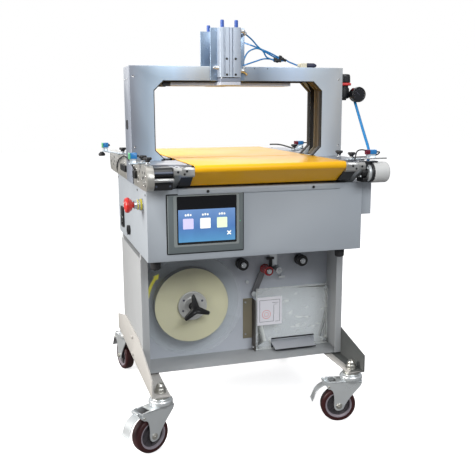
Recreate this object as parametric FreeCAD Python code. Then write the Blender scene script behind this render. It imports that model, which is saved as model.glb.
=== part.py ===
import FreeCAD, Part
import math
import os

# Arch-type film banding machine on a wheeled stand.
# Millimetres.  X runs across the front (operator's right positive), Y runs in
# the direction the packages travel (operator side negative) and Z is up.
# Sub-parts are written about the middle of the cabinet, with the floor at
# FLOOR_Z, and moved at the end so that the origin is on the floor under the
# middle of the whole part.
MIDDLE_X = 5.076
MIDDLE_Y = -47.218
FLOOR_Z = -10.0

# Fits
RUN = 0.05
GAP = 0.5

# Sheet-metal cabinet
CAB_HALF_X = 298.0
CAB_HALF_Y = 255.0
CAB_BOTTOM = 492.0
CAB_TOP = 678.0
SHEET = 2.0
CAB_FLOOR_OPEN_X = 240.0
CAB_FLOOR_OPEN_Y = (-150.0, 190.0)
FOOT_R = 13.5
FOOT_DROP = 24.0
FOOT_X = (-274.0, 247.0)
FOOT_Y = 228.0

# Operator panel
PANEL_X = (-246.0, -46.0)
PANEL_Z = (512.5, 662.5)
PANEL_PROUD = 6.0
PANEL_CUT_MARGIN = 5.0
PANEL_DEPTH = 38.0
PANEL_EDGE = 1.5
WINDOW_X = (-222.0, -64.5)
WINDOW_Z = (535.0, 659.0)
WINDOW_DEEP = 2.0

# Cover strip under the belt nose and the cover box on the right side
STRIP_X = (-218.0, 231.0)
STRIP_Z = (663.0, 677.0)
STRIP_T = 3.0
STRIP_SCREW_X = (-140.0, 151.5)
SCREW_HEAD_R = 3.6
SCREW_HEAD_T = 2.0
COVER_WIDE = 30.0
COVER_Y = (-250.0, -66.0)
COVER_Z = (588.0, 676.0)

# Emergency stop and supply inlet on the left side
STOP_Y = -200.0
STOP_Z = 635.0
STOP_COLLAR_R = 14.0
STOP_COLLAR_L = 23.0
STOP_SHANK_R = 8.0
STOP_HEAD_R = 20.0
STOP_HEAD_L = 19.0
STOP_TRAVEL_GAP = 5.0
INLET_Y = (141.5, 188.5)
INLET_Z = (518.0, 580.0)
INLET_T = 5.0
INLET_CORNER = 4.0
SOCKET_Y = (150.0, 180.0)
SOCKET_Z = (523.0, 545.0)
ROCKER_Z = 563.0
ROCKER_HALF_Y = 13.0
ROCKER_HALF_Z = 11.0
ROCKER_BAY = 2.0
ROCKER_PIN_R = 1.0
ROCKER_PIN_L = 2.0
CONNECTOR_Y = 37.0
CONNECTOR_Z = 528.5
CONNECTOR_R = 14.0
CONNECTOR_L = 8.0

# Stand
LEG_OUT = 300.0
LEG_Y = (-144.0, 204.0)
LEG_TOP = 478.0
LEG_FLANGE = 20.0
LEG_PAD = 20.0
SHELF_Z = 150.0
WALL_Y = -36.0
RAIL_Y = (-291.0, 333.0)
RAIL_BOTTOM = 141.0
RAIL_T = 4.0
RAIL_FLANGE = 49.0
RAIL_END_H = 49.0
RAIL_MID_H = 95.0
RAIL_MID_Y = (-95.0, 150.0)
RAIL_BOLT_Y = 12.0
RAIL_BOLT_Z = (158.0, 211.0)
RAIL_BOLT_R = 6.0
RAIL_BOLT_T = 5.0

# Castors
STEM_X = 276.0
STEM_Y = (-262.0, 304.0)
STEM_R = 6.0
NUT_R = 11.0
NUT_H = 10.0
RACE_R = 24.0
RACE_H = 8.0
CUP_R = 32.0
CUP_H = 20.0
FORK_T = 4.0
RIVET_R = 10.0
RIVET_H = 5.0
WHEEL_R = 50.0
AXLE_Z = FLOOR_Z + WHEEL_R
WHEEL_W = 30.0
RIM_R = 38.0
RIM_WEB = 8.0
RIM_LIP = 4.0
HUB_R = 13.0
HUB_W = 36.0
AXLE_R = 4.0
AXLE_HEAD_R = 8.0
AXLE_HEAD_T = 4.0
TRAIL = 36.0
FORK_INNER = 19.0
FORK_SIDE_T = 3.0
FORK_EYE_R = 14.0
PEDAL_X = -66.0
PEDAL_Z = 98.0
PEDAL_PIN_R = 3.0
PEDAL_BARREL_R = 6.0
PEDAL_HALF_W = 17.0
PEDAL_T = 3.0
PEDAL_BENDS = ((-18.0, -4.0), (-34.0, -16.0), (-44.0, -44.0))
PEDAL_TAB_REACH = 16.0
PEDAL_TAB_RISE = 12.0
CASTOR_TURN = {"fl": 24.0, "fr": -14.0, "rl": -77.0, "rr": 80.0}

# Arch
ARCH_X = -3.0
ARCH_HALF = 305.0
ARCH_Y = (-108.0, -6.0)
ARCH_TOP = 988.0
OPEN_HALF = 240.0
OPEN_TOP = 948.0
OPEN_CORNER = 25.0
ARCH_FOOT_Z = 742.0
ARCH_FOOT_HALF = 225.0
ARCH_WALL = 3.0
LIP_T = 2.0
LIP_W = 17.0
TRACK_DEEP = 16.0
TRACK_T = 3.0
TRACK_MARGIN = 11.0
MID_Y = -57.0

# Press head
PLATE_X = (-90.0, 6.0)
PLATE_Z = (949.0, 1088.0)
PLATE_T = 4.0
CYL_X = (-72.0, -13.0)
CYL_Z = (958.0, 1087.0)
CYL_DEEP = 30.0
CYL_CORNER = 3.0
ROD_X = (-61.0, -22.0)
ROD_R = 4.5
ROD_TOP = 1107.0
BAR_X = (-215.0, 150.0)
BAR_Y = (-90.0, -24.0)
BAR_Z = (937.0, 946.0)
BLOCK_H = 10.0
BLOCK_GAP = 1.0

# Air fittings
FITTING_R = 6.0
FITTING_L = 15.0
FITTING_DOWN = 8.0
FITTING_UP = 18.0
VALVE_X = (186.0, 204.0)
VALVE_Y = -70.0
VALVE_HALF = 8.0
VALVE_H = 14.0
SILENCER_L = 32.0
SILENCER_R = 7.0

# Pressure regulator on the right-hand column
REG_X = 330.0
REG_R = 17.0
REG_Z = (898.0, 940.0)
REG_BLOCK_HALF = 13.0
REG_RING_R = 22.0
REG_RING_H = 8.0
REG_KNOB_R = 19.0
REG_KNOB_H = 25.0
REG_SPINDLE_R = 5.0
REG_SPINDLE_L = 8.0
GAUGE_X = 354.0
GAUGE_Z = 914.0
GAUGE_R = 22.0
GAUGE_Y = (-113.0, -83.0)
GAUGE_NECK_R = 8.0
TUBE_R = 4.05
TUBE_DEEP = 16.0

# Belts and conveyor frame.  Near ends are measured from the film line at MID_Y;
# far ends lie the same distance before and behind the middle of the cabinet, so
# the rear belt is the longer one.
BELT_X = (-187.0, 218.0)
BELT_TOP = 741.0
BELT_BOTTOM = 685.0
BELT_T = 2.0
BELT_GAP_HALF = 2.0
NOSE_R = 10.0
NOSE_Y = 251.0
REAR_EXTRA = 72.0
BEND_R = 6.0
HEEL_Y = 199.1
CORNER_Y = 284.6
ROLLER_Z = 731.0
ROLLER_SHAFT_R = 4.0
SIDE_LEFT = (-239.0, -219.0)
SIDE_RIGHT = (254.0, 275.0)
SIDE_TOP = 736.0
SIDE_NOSE = 259.0
SIDE_BACK = 53.0
DECK_T = 3.0
DECK_LEFT = (-287.0, -190.0)
DECK_RIGHT = (222.0, 300.0)
DECK_LONG = (53.0, 188.0)
DECK_RIGHT_FAR = 202.0
OUTER_X = (-305.0, -287.0)
OUTER_Z = (679.0, 741.0)
OUTER_NOSE = 261.0
BED_LONG = (33.0, 223.0)
BED_Z = (728.0, 738.9)
NOSE_BAR_Z = (713.0, 736.0)
NOSE_BAR_LONG = (240.0, 259.0)
NOSE_STEP = 4.0
TIE_R = 5.0
TIE_LONG = 255.0
TIE_Z = 707.0

# Belt drives
DRIVE_LONG = (188.0, 248.0)
DRIVE_UP_Z = (713.0, 737.0)
DRIVE_LOW_Z = (681.0, 701.0)
DRUM_Y = -285.0
DRUM_Z = 706.5
DRUM_STEPS = ((275.0, 290.0, 15.0), (290.0, 299.0, 24.0), (299.0, 307.0, 27.0), (307.0, 352.0, 28.0))
CLAMP_X = (275.0, 322.0)
CLAMP_Y = (-297.0, -273.0)
CLAMP_Z = (733.5, 737.0)

# Sensor carriages: knob position, sensor block corners and bracket outline
SENSOR_T = 3.0
SENSOR_RISER = 10.0
SLOT_HALF_L = 14.0
KNOB_STEM_R = 3.0
KNOB_STEM_H = 9.0
KNOB_R = 10.0
KNOB_NECK_R = 6.0
KNOB_H = 11.0
SLOT_EXTRA = 1.0
KNOB_LEFT_X = -296.0
KNOB_RIGHT_X = 264.0
KNOB_FL_Y = -208.0
KNOB_FL2_Y = -277.0
KNOB_RL_Y = 144.0
KNOB_FR_Y = -253.0
KNOB_FR2_Y = -176.0
KNOB_RR_Y = 161.0
SENSOR_LEFT = (20.0, 12.0, 15.0)
SENSOR_RIGHT = (30.0, 12.0, 12.0)
SENSOR_FL = (-324.0, -225.0)
SENSOR_RL = (-332.0, 282.0)
SENSOR_FR = (324.0, -249.0)
SENSOR_RR = (319.0, 256.0)
BRACKET_HALF = 10.0
BRACKET_END = 16.0

# Film reel
REEL_X = -146.0
REEL_Z = 322.0
REEL_CORE_R = 38.0
FILM_R = 115.0
FILM_Y = (-90.0, -60.0)
DISC_R = 148.0
DISC_T = 2.0
HUB_FLANGE_R = 42.0
HUB_FLANGE_T = 6.0
HUB_BACK_Y = -48.0
SPINDLE_R = 8.0
SPINDLE_END_Y = -30.0
BOSS_R = 18.0
BOSS_Y = -46.0
REEL_KNOB_R = 12.0
REEL_KNOB_T = 45.0
REEL_LOBE_R = 5.0
REEL_LOBE_T = 12.0
REEL_LOBE_REACH = 36.0
REEL_LOBE_TURN = 100.0

# Guide rollers, dancer and cover
GUIDE_X = (15.0, 202.0)
GUIDE_Z = 424.0
GUIDE_R = 17.0
GUIDE_Y = (-72.0, -42.0)
PIN_R = 5.0
PIN_HEAD_R = 8.0
PIN_HEAD_T = 3.0
ARM_X = 55.0
ARM_Z = 327.0
ARM_DX = 32.0
ARM_DZ = 78.0
ARM_HALF = 9.0
ARM_Y = (-48.0, -44.0)
DANCER_R = 14.0
DANCER_Y = (-94.0, -50.0)
DANCER_PIN_R = 4.0
HANGER_X = (108.0, 132.0)
HANGER_Z = (392.0, 470.0)
EXIT_X = 126.0
EXIT_Z = 400.5
EXIT_R = 10.0
EXIT_Y = -75.0
LEVER_X = 141.0
LEVER_Z = 376.0
LEVER_R = 4.0
LEVER_Y = -58.0
PEG_X = 36.0
PEG_Z = 364.0
PEG_L = 8.0
COVER_X = (57.0, 290.0)
COVER_PANEL_Z = (154.0, 346.0)
COVER_PANEL_Y = (-63.0, -60.0)
STANDOFF_POS = ((68.0, 166.0), (282.0, 334.0), (282.0, 166.0))
STANDOFF_R = 5.0
STANDOFF_SCREW_R = 3.0
GUARD_X = (24.0, 54.0)
GUARD_Z = (153.0, 312.0)
GUARD_Y = -70.0
GUARD_FOOT_Z = 187.0
FLAP_X = (110.0, 242.0)
FLAP_HINGE_Y = -40.0
FLAP_HINGE_Z = 173.0
FLAP_REACH = 51.0
FLAP_DROP = 13.0
FLAP_T = 1.5
FLAP_PIN_R = 1.5
FLAP_BARREL_R = 2.6
FLAP_WINDOW = (104.0, 248.0, 156.0, 186.0)
LUG_HALF = 3.0

X_AXIS = FreeCAD.Vector(1, 0, 0)
Y_AXIS = FreeCAD.Vector(0, 1, 0)
Z_AXIS = FreeCAD.Vector(0, 0, 1)
SIDES = (-1.0, 1.0)


def box(x, y, z):
    """Block between the two values of each pair."""
    size = [abs(pair[1] - pair[0]) for pair in (x, y, z)]
    corner = FreeCAD.Vector(min(x), min(y), min(z))
    return Part.makeBox(size[0], size[1], size[2], corner)


def cyl_x(x, y, z, radius):
    return Part.makeCylinder(radius, abs(x[1] - x[0]), FreeCAD.Vector(min(x), y, z), X_AXIS)


def cyl_y(x, y, z, radius):
    return Part.makeCylinder(radius, abs(y[1] - y[0]), FreeCAD.Vector(x, min(y), z), Y_AXIS)


def cyl_z(x, y, z, radius):
    return Part.makeCylinder(radius, abs(z[1] - z[0]), FreeCAD.Vector(x, y, min(z)), Z_AXIS)


def face_of(points):
    return Part.Face(Part.makePolygon(points + [points[0]]))


def prism_x(outline, x):
    """Outline of (y, z) points swept along X."""
    points = [FreeCAD.Vector(min(x), y, z) for y, z in outline]
    return face_of(points).extrude(X_AXIS * abs(x[1] - x[0]))


def prism_y(outline, y):
    """Outline of (x, z) points swept along Y."""
    points = [FreeCAD.Vector(x, min(y), z) for x, z in outline]
    return face_of(points).extrude(Y_AXIS * abs(y[1] - y[0]))


def prism_z(outline, z):
    """Outline of (x, y) points swept along Z."""
    points = [FreeCAD.Vector(x, y, min(z)) for x, y in outline]
    return face_of(points).extrude(Z_AXIS * abs(z[1] - z[0]))


def join(solids):
    whole = solids[0]
    for solid in solids[1:]:
        whole = whole.fuse(solid)
    return whole.removeSplitter()


def carve(solid, cutters):
    for cutter in cutters:
        solid = solid.cut(cutter)
    return solid


def group(solids):
    return Part.makeCompound(solids)


def end_y(distance, side):
    """Y near the front (-1) or rear (+1) end of the belts; the rear end is longer by REAR_EXTRA."""
    extra = REAR_EXTRA if side > 0 else 0.0
    return side * (distance - MID_Y) + extra


def along(near, far, side):
    """Y pair from near the film line to a far end of the belts."""
    return (MID_Y + side * near, end_y(far, side))


# ---------------------------------------------------------------- cabinet

def cabinet_shell():
    outer = box((-CAB_HALF_X, CAB_HALF_X), (-CAB_HALF_Y, CAB_HALF_Y), (CAB_BOTTOM, CAB_TOP))
    inner = box((-CAB_HALF_X + SHEET, CAB_HALF_X - SHEET),
                (-CAB_HALF_Y + SHEET, CAB_HALF_Y - SHEET),
                (CAB_BOTTOM + SHEET, CAB_TOP - SHEET))
    floor_opening = box((-CAB_FLOOR_OPEN_X, CAB_FLOOR_OPEN_X), CAB_FLOOR_OPEN_Y,
                        (CAB_BOTTOM, CAB_BOTTOM + SHEET))
    panel_cut = box((PANEL_X[0] + PANEL_CUT_MARGIN, PANEL_X[1] - PANEL_CUT_MARGIN),
                    (-CAB_HALF_Y, -CAB_HALF_Y + SHEET),
                    (PANEL_Z[0] + PANEL_CUT_MARGIN, PANEL_Z[1] - PANEL_CUT_MARGIN))
    return carve(outer, [inner, floor_opening, panel_cut])


def rubber_feet():
    z = (CAB_BOTTOM - FOOT_DROP, CAB_BOTTOM)
    return group([cyl_z(x, side * FOOT_Y, z, FOOT_R) for x in FOOT_X for side in SIDES])


def hmi_bezel():
    front = (-CAB_HALF_Y - PANEL_PROUD, -CAB_HALF_Y)
    frame = box(PANEL_X, front, PANEL_Z)
    front_edges = [edge for edge in frame.Edges if edge.BoundBox.YMax < front[0] + PANEL_EDGE]
    frame = frame.makeChamfer(PANEL_EDGE, front_edges)
    margin = PANEL_CUT_MARGIN + GAP
    housing = box((PANEL_X[0] + margin, PANEL_X[1] - margin),
                  (-CAB_HALF_Y, -CAB_HALF_Y + PANEL_DEPTH),
                  (PANEL_Z[0] + margin, PANEL_Z[1] - margin))
    recess = box(WINDOW_X, (front[0], front[0] + WINDOW_DEEP), WINDOW_Z)
    return join([frame, housing]).cut(recess)


def hmi_screen():
    face_y = -CAB_HALF_Y - PANEL_PROUD + GAP
    return box(WINDOW_X, (face_y, face_y + WINDOW_DEEP - GAP), WINDOW_Z)


def cover_plates():
    strip_y = (-CAB_HALF_Y - STRIP_T, -CAB_HALF_Y)
    solids = [box(STRIP_X, strip_y, STRIP_Z)]
    mid_z = sum(STRIP_Z) / len(STRIP_Z)
    for x in STRIP_SCREW_X:
        solids.append(cyl_y(x, (strip_y[0] - SCREW_HEAD_T, strip_y[0]), mid_z, SCREW_HEAD_R))
    strip = join(solids)
    outer = box((CAB_HALF_X, CAB_HALF_X + COVER_WIDE), COVER_Y, COVER_Z)
    inner = box((CAB_HALF_X, CAB_HALF_X + COVER_WIDE - SHEET),
                (COVER_Y[0] + SHEET, COVER_Y[1] - SHEET),
                (COVER_Z[0] + SHEET, COVER_Z[1] - SHEET))
    return group([strip, outer.cut(inner)])


def estop_base():
    collar = cyl_x((-CAB_HALF_X - STOP_COLLAR_L, -CAB_HALF_X), STOP_Y, STOP_Z, STOP_COLLAR_R)
    bore = cyl_x((-CAB_HALF_X - STOP_COLLAR_L, -CAB_HALF_X - SHEET), STOP_Y, STOP_Z, STOP_SHANK_R + RUN)
    return collar.cut(bore)


def estop_button():
    head_x = -CAB_HALF_X - STOP_COLLAR_L - STOP_TRAVEL_GAP
    shank = cyl_x((head_x, -CAB_HALF_X - SHEET - STOP_TRAVEL_GAP), STOP_Y, STOP_Z, STOP_SHANK_R)
    head = cyl_x((head_x - STOP_HEAD_L, head_x), STOP_Y, STOP_Z, STOP_HEAD_R)
    top = [edge for edge in head.Edges if edge.BoundBox.XMax < head_x - STOP_HEAD_L + GAP]
    head = head.makeFillet(STOP_COLLAR_R / 2.0, top)
    return join([head, shank])


def side_inlet():
    x = (-CAB_HALF_X - INLET_T, -CAB_HALF_X)
    body = box(x, INLET_Y, INLET_Z)
    long_edges = [edge for edge in body.Edges if edge.BoundBox.XLength > INLET_T / 2.0]
    body = body.makeChamfer(INLET_CORNER, long_edges)
    bay_x = (x[0], x[1] - GAP)
    mid_y = sum(INLET_Y) / len(INLET_Y)
    bay_half_y = ROCKER_HALF_Y + GAP
    bay_half_z = ROCKER_HALF_Z + ROCKER_BAY
    rocker_bay = box(bay_x, (mid_y - bay_half_y, mid_y + bay_half_y),
                     (ROCKER_Z - bay_half_z, ROCKER_Z + bay_half_z))
    pin_half = ROCKER_HALF_Y + ROCKER_PIN_L + GAP
    pin_bore = cyl_y(x[0] + ROCKER_BAY, (mid_y - pin_half, mid_y + pin_half), ROCKER_Z, ROCKER_PIN_R + RUN)
    socket = box(bay_x, SOCKET_Y, SOCKET_Z)
    body = carve(body, [rocker_bay, pin_bore, socket])
    connector = cyl_x((-CAB_HALF_X - CONNECTOR_L, -CAB_HALF_X), CONNECTOR_Y, CONNECTOR_Z, CONNECTOR_R)
    throat = cyl_x((-CAB_HALF_X - CONNECTOR_L, -CAB_HALF_X - SHEET), CONNECTOR_Y, CONNECTOR_Z,
                   CONNECTOR_R - INLET_CORNER)
    return group([body, connector.cut(throat)])


def rocker_switch():
    face_x = -CAB_HALF_X - INLET_T
    mid_y = sum(INLET_Y) / len(INLET_Y)
    back = face_x + ROCKER_BAY + ROCKER_PIN_R
    outline = [(back, ROCKER_Z - ROCKER_HALF_Z), (back, ROCKER_Z + ROCKER_HALF_Z),
               (face_x - ROCKER_PIN_R, ROCKER_Z + ROCKER_HALF_Z), (face_x, ROCKER_Z),
               (face_x - ROCKER_PIN_R, ROCKER_Z - ROCKER_HALF_Z)]
    body = prism_y(outline, (mid_y - ROCKER_HALF_Y, mid_y + ROCKER_HALF_Y))
    pin_half = ROCKER_HALF_Y + ROCKER_PIN_L
    pin = cyl_y(face_x + ROCKER_BAY, (mid_y - pin_half, mid_y + pin_half), ROCKER_Z, ROCKER_PIN_R)
    return join([body, pin])


# ------------------------------------------------------------------ stand

def leg_panel(side):
    """Side sheet with front, rear and top flanges and two pads under the cabinet."""
    outer = (side * (LEG_OUT - SHEET), side * LEG_OUT)
    flange = (side * (LEG_OUT - LEG_FLANGE), side * LEG_OUT)
    z = (SHELF_Z, LEG_TOP)
    solids = [box(outer, LEG_Y, z),
              box(flange, (LEG_Y[0], LEG_Y[0] + SHEET), z),
              box(flange, (LEG_Y[1] - SHEET, LEG_Y[1]), z),
              box(flange, LEG_Y, (LEG_TOP - SHEET, LEG_TOP))]
    pad_x = (side * (LEG_OUT - LEG_PAD), side * (LEG_OUT - SHEET))
    for y in (LEG_Y[0], LEG_Y[1] - LEG_PAD):
        solids.append(box(pad_x, (y, y + LEG_PAD), (LEG_TOP, CAB_BOTTOM)))
    return join(solids)


def leg_panels():
    return group([leg_panel(side) for side in SIDES])


def shelf_tray():
    """Shelf sheet with the upright wall that carries the film path."""
    inner = LEG_OUT - SHEET
    floor = box((-inner, inner), (LEG_Y[0] + SHEET, LEG_Y[1] - SHEET), (SHELF_Z, SHELF_Z + SHEET))
    wall_top = LEG_TOP - SHEET
    wall = box((-inner, inner), (WALL_Y, WALL_Y + SHEET), (SHELF_Z + SHEET, wall_top))
    boss = cyl_y(REEL_X, (BOSS_Y, WALL_Y), REEL_Z, BOSS_R)
    bore = cyl_y(REEL_X, (BOSS_Y, WALL_Y + SHEET), REEL_Z, SPINDLE_R + RUN)
    return join([floor, wall, boss]).cut(bore)


def foot_rail(side):
    web_x = (side * LEG_OUT, side * (LEG_OUT + RAIL_T))
    outline = [(RAIL_Y[0], RAIL_BOTTOM), (RAIL_Y[0], RAIL_BOTTOM + RAIL_END_H),
               (RAIL_MID_Y[0], RAIL_BOTTOM + RAIL_MID_H), (RAIL_MID_Y[1], RAIL_BOTTOM + RAIL_MID_H),
               (RAIL_Y[1], RAIL_BOTTOM + RAIL_END_H), (RAIL_Y[1], RAIL_BOTTOM)]
    web = prism_x(outline, web_x)
    flange = box((side * (LEG_OUT + RAIL_T - RAIL_FLANGE), side * LEG_OUT), RAIL_Y,
                 (RAIL_BOTTOM, RAIL_BOTTOM + RAIL_T))
    solids = [web, flange]
    bolt_x = (side * (LEG_OUT + RAIL_T), side * (LEG_OUT + RAIL_T + RAIL_BOLT_T))
    for z in RAIL_BOLT_Z:
        solids.append(cyl_x(bolt_x, RAIL_BOLT_Y, z, RAIL_BOLT_R))
    rail = join(solids)
    z = (RAIL_BOTTOM, RAIL_BOTTOM + RAIL_T)
    return carve(rail, [cyl_z(side * STEM_X, y, z, STEM_R + RUN) for y in STEM_Y])


def foot_rails():
    return group([foot_rail(side) for side in SIDES])


# ---------------------------------------------------------------- castors

CUP_TOP = RAIL_BOTTOM - RACE_H - RUN
CUP_BOTTOM = CUP_TOP - CUP_H
FORK_BOTTOM = CUP_BOTTOM - FORK_T


def castor_stem(x, y):
    """Threaded stem with cap nut, upper race and the riveted lower end."""
    nut_z = RAIL_BOTTOM + RAIL_T
    stem = cyl_z(x, y, (FORK_BOTTOM - RUN - RIVET_H, nut_z + NUT_H), STEM_R)
    nut = cyl_z(x, y, (nut_z, nut_z + NUT_H), NUT_R)
    dome = Part.makeSphere(NUT_R - RUN, FreeCAD.Vector(x, y, nut_z + NUT_H))
    race = cyl_z(x, y, (RAIL_BOTTOM - RACE_H, RAIL_BOTTOM), RACE_R)
    rivet = cyl_z(x, y, (FORK_BOTTOM - RUN - RIVET_H, FORK_BOTTOM - RUN), RIVET_R)
    lower_half = box((x - NUT_R, x + NUT_R), (y - NUT_R, y + NUT_R), (nut_z - NUT_R, nut_z + NUT_H))
    return join([stem, nut, dome.cut(lower_half), race, rivet])


def castor_stems():
    return group([castor_stem(side * STEM_X, y) for side in SIDES for y in STEM_Y])


def castor_fork():
    """Fork about the stem axis with the wheel trailing towards -X."""
    bore = cyl_z(0, 0, (FORK_BOTTOM, CUP_TOP), STEM_R + RUN)
    cup = cyl_z(0, 0, (CUP_BOTTOM, CUP_TOP), CUP_R)
    side_half = FORK_INNER + FORK_SIDE_T
    top_outline = [(CUP_R - FORK_T, -side_half), (CUP_R - FORK_T, side_half),
                   (PEDAL_X + PEDAL_BARREL_R, side_half), (PEDAL_X + PEDAL_BARREL_R, -side_half)]
    top = prism_z(top_outline, (FORK_BOTTOM, CUP_BOTTOM))
    solids = [cup, top]
    cheek = [(CUP_R - FORK_T, CUP_BOTTOM), (CUP_R - FORK_T, PEDAL_Z),
             (-TRAIL + FORK_EYE_R, AXLE_Z), (-TRAIL - FORK_EYE_R, AXLE_Z),
             (-TRAIL - FORK_EYE_R, AXLE_Z + FORK_EYE_R),
             (PEDAL_X - PEDAL_BARREL_R, PEDAL_Z - PEDAL_BARREL_R),
             (PEDAL_X - PEDAL_BARREL_R, CUP_BOTTOM)]
    for side in SIDES:
        y = (side * FORK_INNER, side * side_half)
        solids.append(prism_y(cheek, y))
        solids.append(cyl_y(-TRAIL, y, AXLE_Z, FORK_EYE_R))
        head_y = (side * side_half, side * (side_half + AXLE_HEAD_T))
        solids.append(cyl_y(-TRAIL, head_y, AXLE_Z, AXLE_HEAD_R))
    span = (-side_half, side_half)
    solids.append(cyl_y(-TRAIL, span, AXLE_Z, AXLE_R))
    solids.append(cyl_y(PEDAL_X, span, PEDAL_Z, PEDAL_PIN_R))
    return join(solids).cut(bore)


def castor_rim():
    web = cyl_y(-TRAIL, (-RIM_WEB / 2.0, RIM_WEB / 2.0), AXLE_Z, RIM_R)
    band = cyl_y(-TRAIL, (-WHEEL_W / 2.0, WHEEL_W / 2.0), AXLE_Z, RIM_R)
    hollow = cyl_y(-TRAIL, (-WHEEL_W / 2.0, WHEEL_W / 2.0), AXLE_Z, RIM_R - RIM_LIP)
    hub = cyl_y(-TRAIL, (-HUB_W / 2.0, HUB_W / 2.0), AXLE_Z, HUB_R)
    bore = cyl_y(-TRAIL, (-HUB_W / 2.0, HUB_W / 2.0), AXLE_Z, AXLE_R + RUN)
    return join([band.cut(hollow), web, hub]).cut(bore)


def castor_tyre():
    y = (-WHEEL_W / 2.0, WHEEL_W / 2.0)
    tyre = cyl_y(-TRAIL, y, AXLE_Z, WHEEL_R)
    tyre = tyre.makeFillet(WHEEL_W / 6.0, tyre.Edges[:1] + tyre.Edges[2:3])
    return tyre.cut(cyl_y(-TRAIL, y, AXLE_Z, RIM_R))


def castor_pedal():
    """Bent brake pedal with its barrel on the fork pin and a release tab."""
    width = (-PEDAL_HALF_W, PEDAL_HALF_W)
    barrel_half = FORK_INNER - GAP
    barrel = cyl_y(PEDAL_X, (-barrel_half, barrel_half), PEDAL_Z, PEDAL_BARREL_R)
    run_out = [(PEDAL_X, PEDAL_Z)] + [(PEDAL_X + dx, PEDAL_Z + dz) for dx, dz in PEDAL_BENDS]
    back = [(x - PEDAL_T, z + PEDAL_T) for x, z in reversed(run_out)]
    strip = prism_y(run_out + back, width)
    tip_x = PEDAL_X - PEDAL_TAB_REACH
    tip_z = PEDAL_Z + PEDAL_TAB_RISE
    tab = [(PEDAL_X - PEDAL_T, PEDAL_Z), (PEDAL_X, PEDAL_Z + PEDAL_T),
           (tip_x + PEDAL_T, tip_z + PEDAL_T), (tip_x, tip_z)]
    release = prism_y(tab, (-PEDAL_HALF_W / 2.0, PEDAL_HALF_W / 2.0))
    bore = cyl_y(PEDAL_X, (-barrel_half, barrel_half), PEDAL_Z, PEDAL_PIN_R + RUN)
    return join([barrel, strip, release]).cut(bore)


def at_castor(solid, corner):
    """Turn a sub-part about its stem and put it under one corner of the stand."""
    x = -STEM_X if corner[1] == "l" else STEM_X
    y = STEM_Y[0] if corner[0] == "f" else STEM_Y[1]
    placed = solid.copy()
    placed.rotate(FreeCAD.Vector(0, 0, 0), Z_AXIS, CASTOR_TURN[corner])
    placed.translate(FreeCAD.Vector(x, y, 0))
    return placed


# ------------------------------------------------------------------- arch

def portal(grow):
    """Right half of the arch opening, as (x, z), offset outwards by grow."""
    slant = grow * (math.sqrt(2.0) - 1.0)
    half = OPEN_HALF + grow
    foot = OPEN_HALF - OPEN_CORNER + grow * math.sqrt(2.0)
    return [(foot, ARCH_FOOT_Z),
            (half, ARCH_FOOT_Z + OPEN_CORNER - slant),
            (half, OPEN_TOP - OPEN_CORNER + slant),
            (OPEN_HALF - OPEN_CORNER + slant, OPEN_TOP + grow)]


def portal_prism(grow, y):
    right = portal(grow)
    left = [(-x, z) for x, z in reversed(right)]
    return prism_y([(ARCH_X + x, z) for x, z in right + left], y)


def arch_frame():
    frame = box((ARCH_X - ARCH_HALF, ARCH_X + ARCH_HALF), ARCH_Y, (CAB_TOP, ARCH_TOP))
    below = box((ARCH_X - ARCH_FOOT_HALF, ARCH_X + ARCH_FOOT_HALF), ARCH_Y, (CAB_TOP, ARCH_FOOT_Z))
    groove_y = (ARCH_Y[0] + LIP_W, ARCH_Y[1] - LIP_W)
    return carve(frame, [below, portal_prism(LIP_T, ARCH_Y), portal_prism(TRACK_DEEP, groove_y),
                         arch_hollow()])


def arch_hollow():
    """Space inside the sheet-metal arch, open at the feet."""
    half = ARCH_HALF - ARCH_WALL
    y = (ARCH_Y[0] + ARCH_WALL, ARCH_Y[1] - ARCH_WALL)
    hollow = box((ARCH_X - half, ARCH_X + half), y, (CAB_TOP, ARCH_TOP - ARCH_WALL))
    foot = ARCH_FOOT_HALF + ARCH_WALL
    keep = box((ARCH_X - foot, ARCH_X + foot), y, (CAB_TOP, ARCH_FOOT_Z + ARCH_WALL))
    return carve(hollow, [keep, portal_prism(TRACK_DEEP + ARCH_WALL, y)])


def film_track():
    """Two dark lips round the opening and the film track sunk between them."""
    groove_y = (ARCH_Y[0] + LIP_W, ARCH_Y[1] - LIP_W)
    solids = []
    for y in ((ARCH_Y[0], groove_y[0]), (groove_y[1], ARCH_Y[1])):
        solids.append(portal_prism(LIP_T, y).cut(portal_prism(0.0, y)))
    track_y = (groove_y[0] + TRACK_MARGIN, groove_y[1] - TRACK_MARGIN)
    deep = portal_prism(TRACK_DEEP, track_y)
    solids.append(deep.cut(portal_prism(TRACK_DEEP - TRACK_T, track_y)))
    return group(solids)


# ------------------------------------------------------------- press head

def press_brackets():
    front = box(PLATE_X, (ARCH_Y[0] - PLATE_T, ARCH_Y[0]), PLATE_Z)
    rear = box(PLATE_X, (ARCH_Y[1], ARCH_Y[1] + PLATE_T), PLATE_Z)
    return group([front, rear])


def cylinder_span(side):
    """Y range of the front (-1) or rear (+1) cylinder body."""
    face = MID_Y + side * ((ARCH_Y[1] - ARCH_Y[0]) / 2.0 + PLATE_T)
    return (face, face + side * CYL_DEEP)


def cylinder_body(side):
    y = cylinder_span(side)
    body = box(CYL_X, y, CYL_Z)
    upright = [edge for edge in body.Edges if edge.BoundBox.ZLength > CYL_DEEP]
    body = body.makeFillet(CYL_CORNER, upright)
    rod_y = sum(y) / len(y)
    return carve(body, [cyl_z(x, rod_y, CYL_Z, ROD_R + RUN) for x in ROD_X])


def air_cylinders():
    return group([cylinder_body(side) for side in SIDES])


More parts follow.
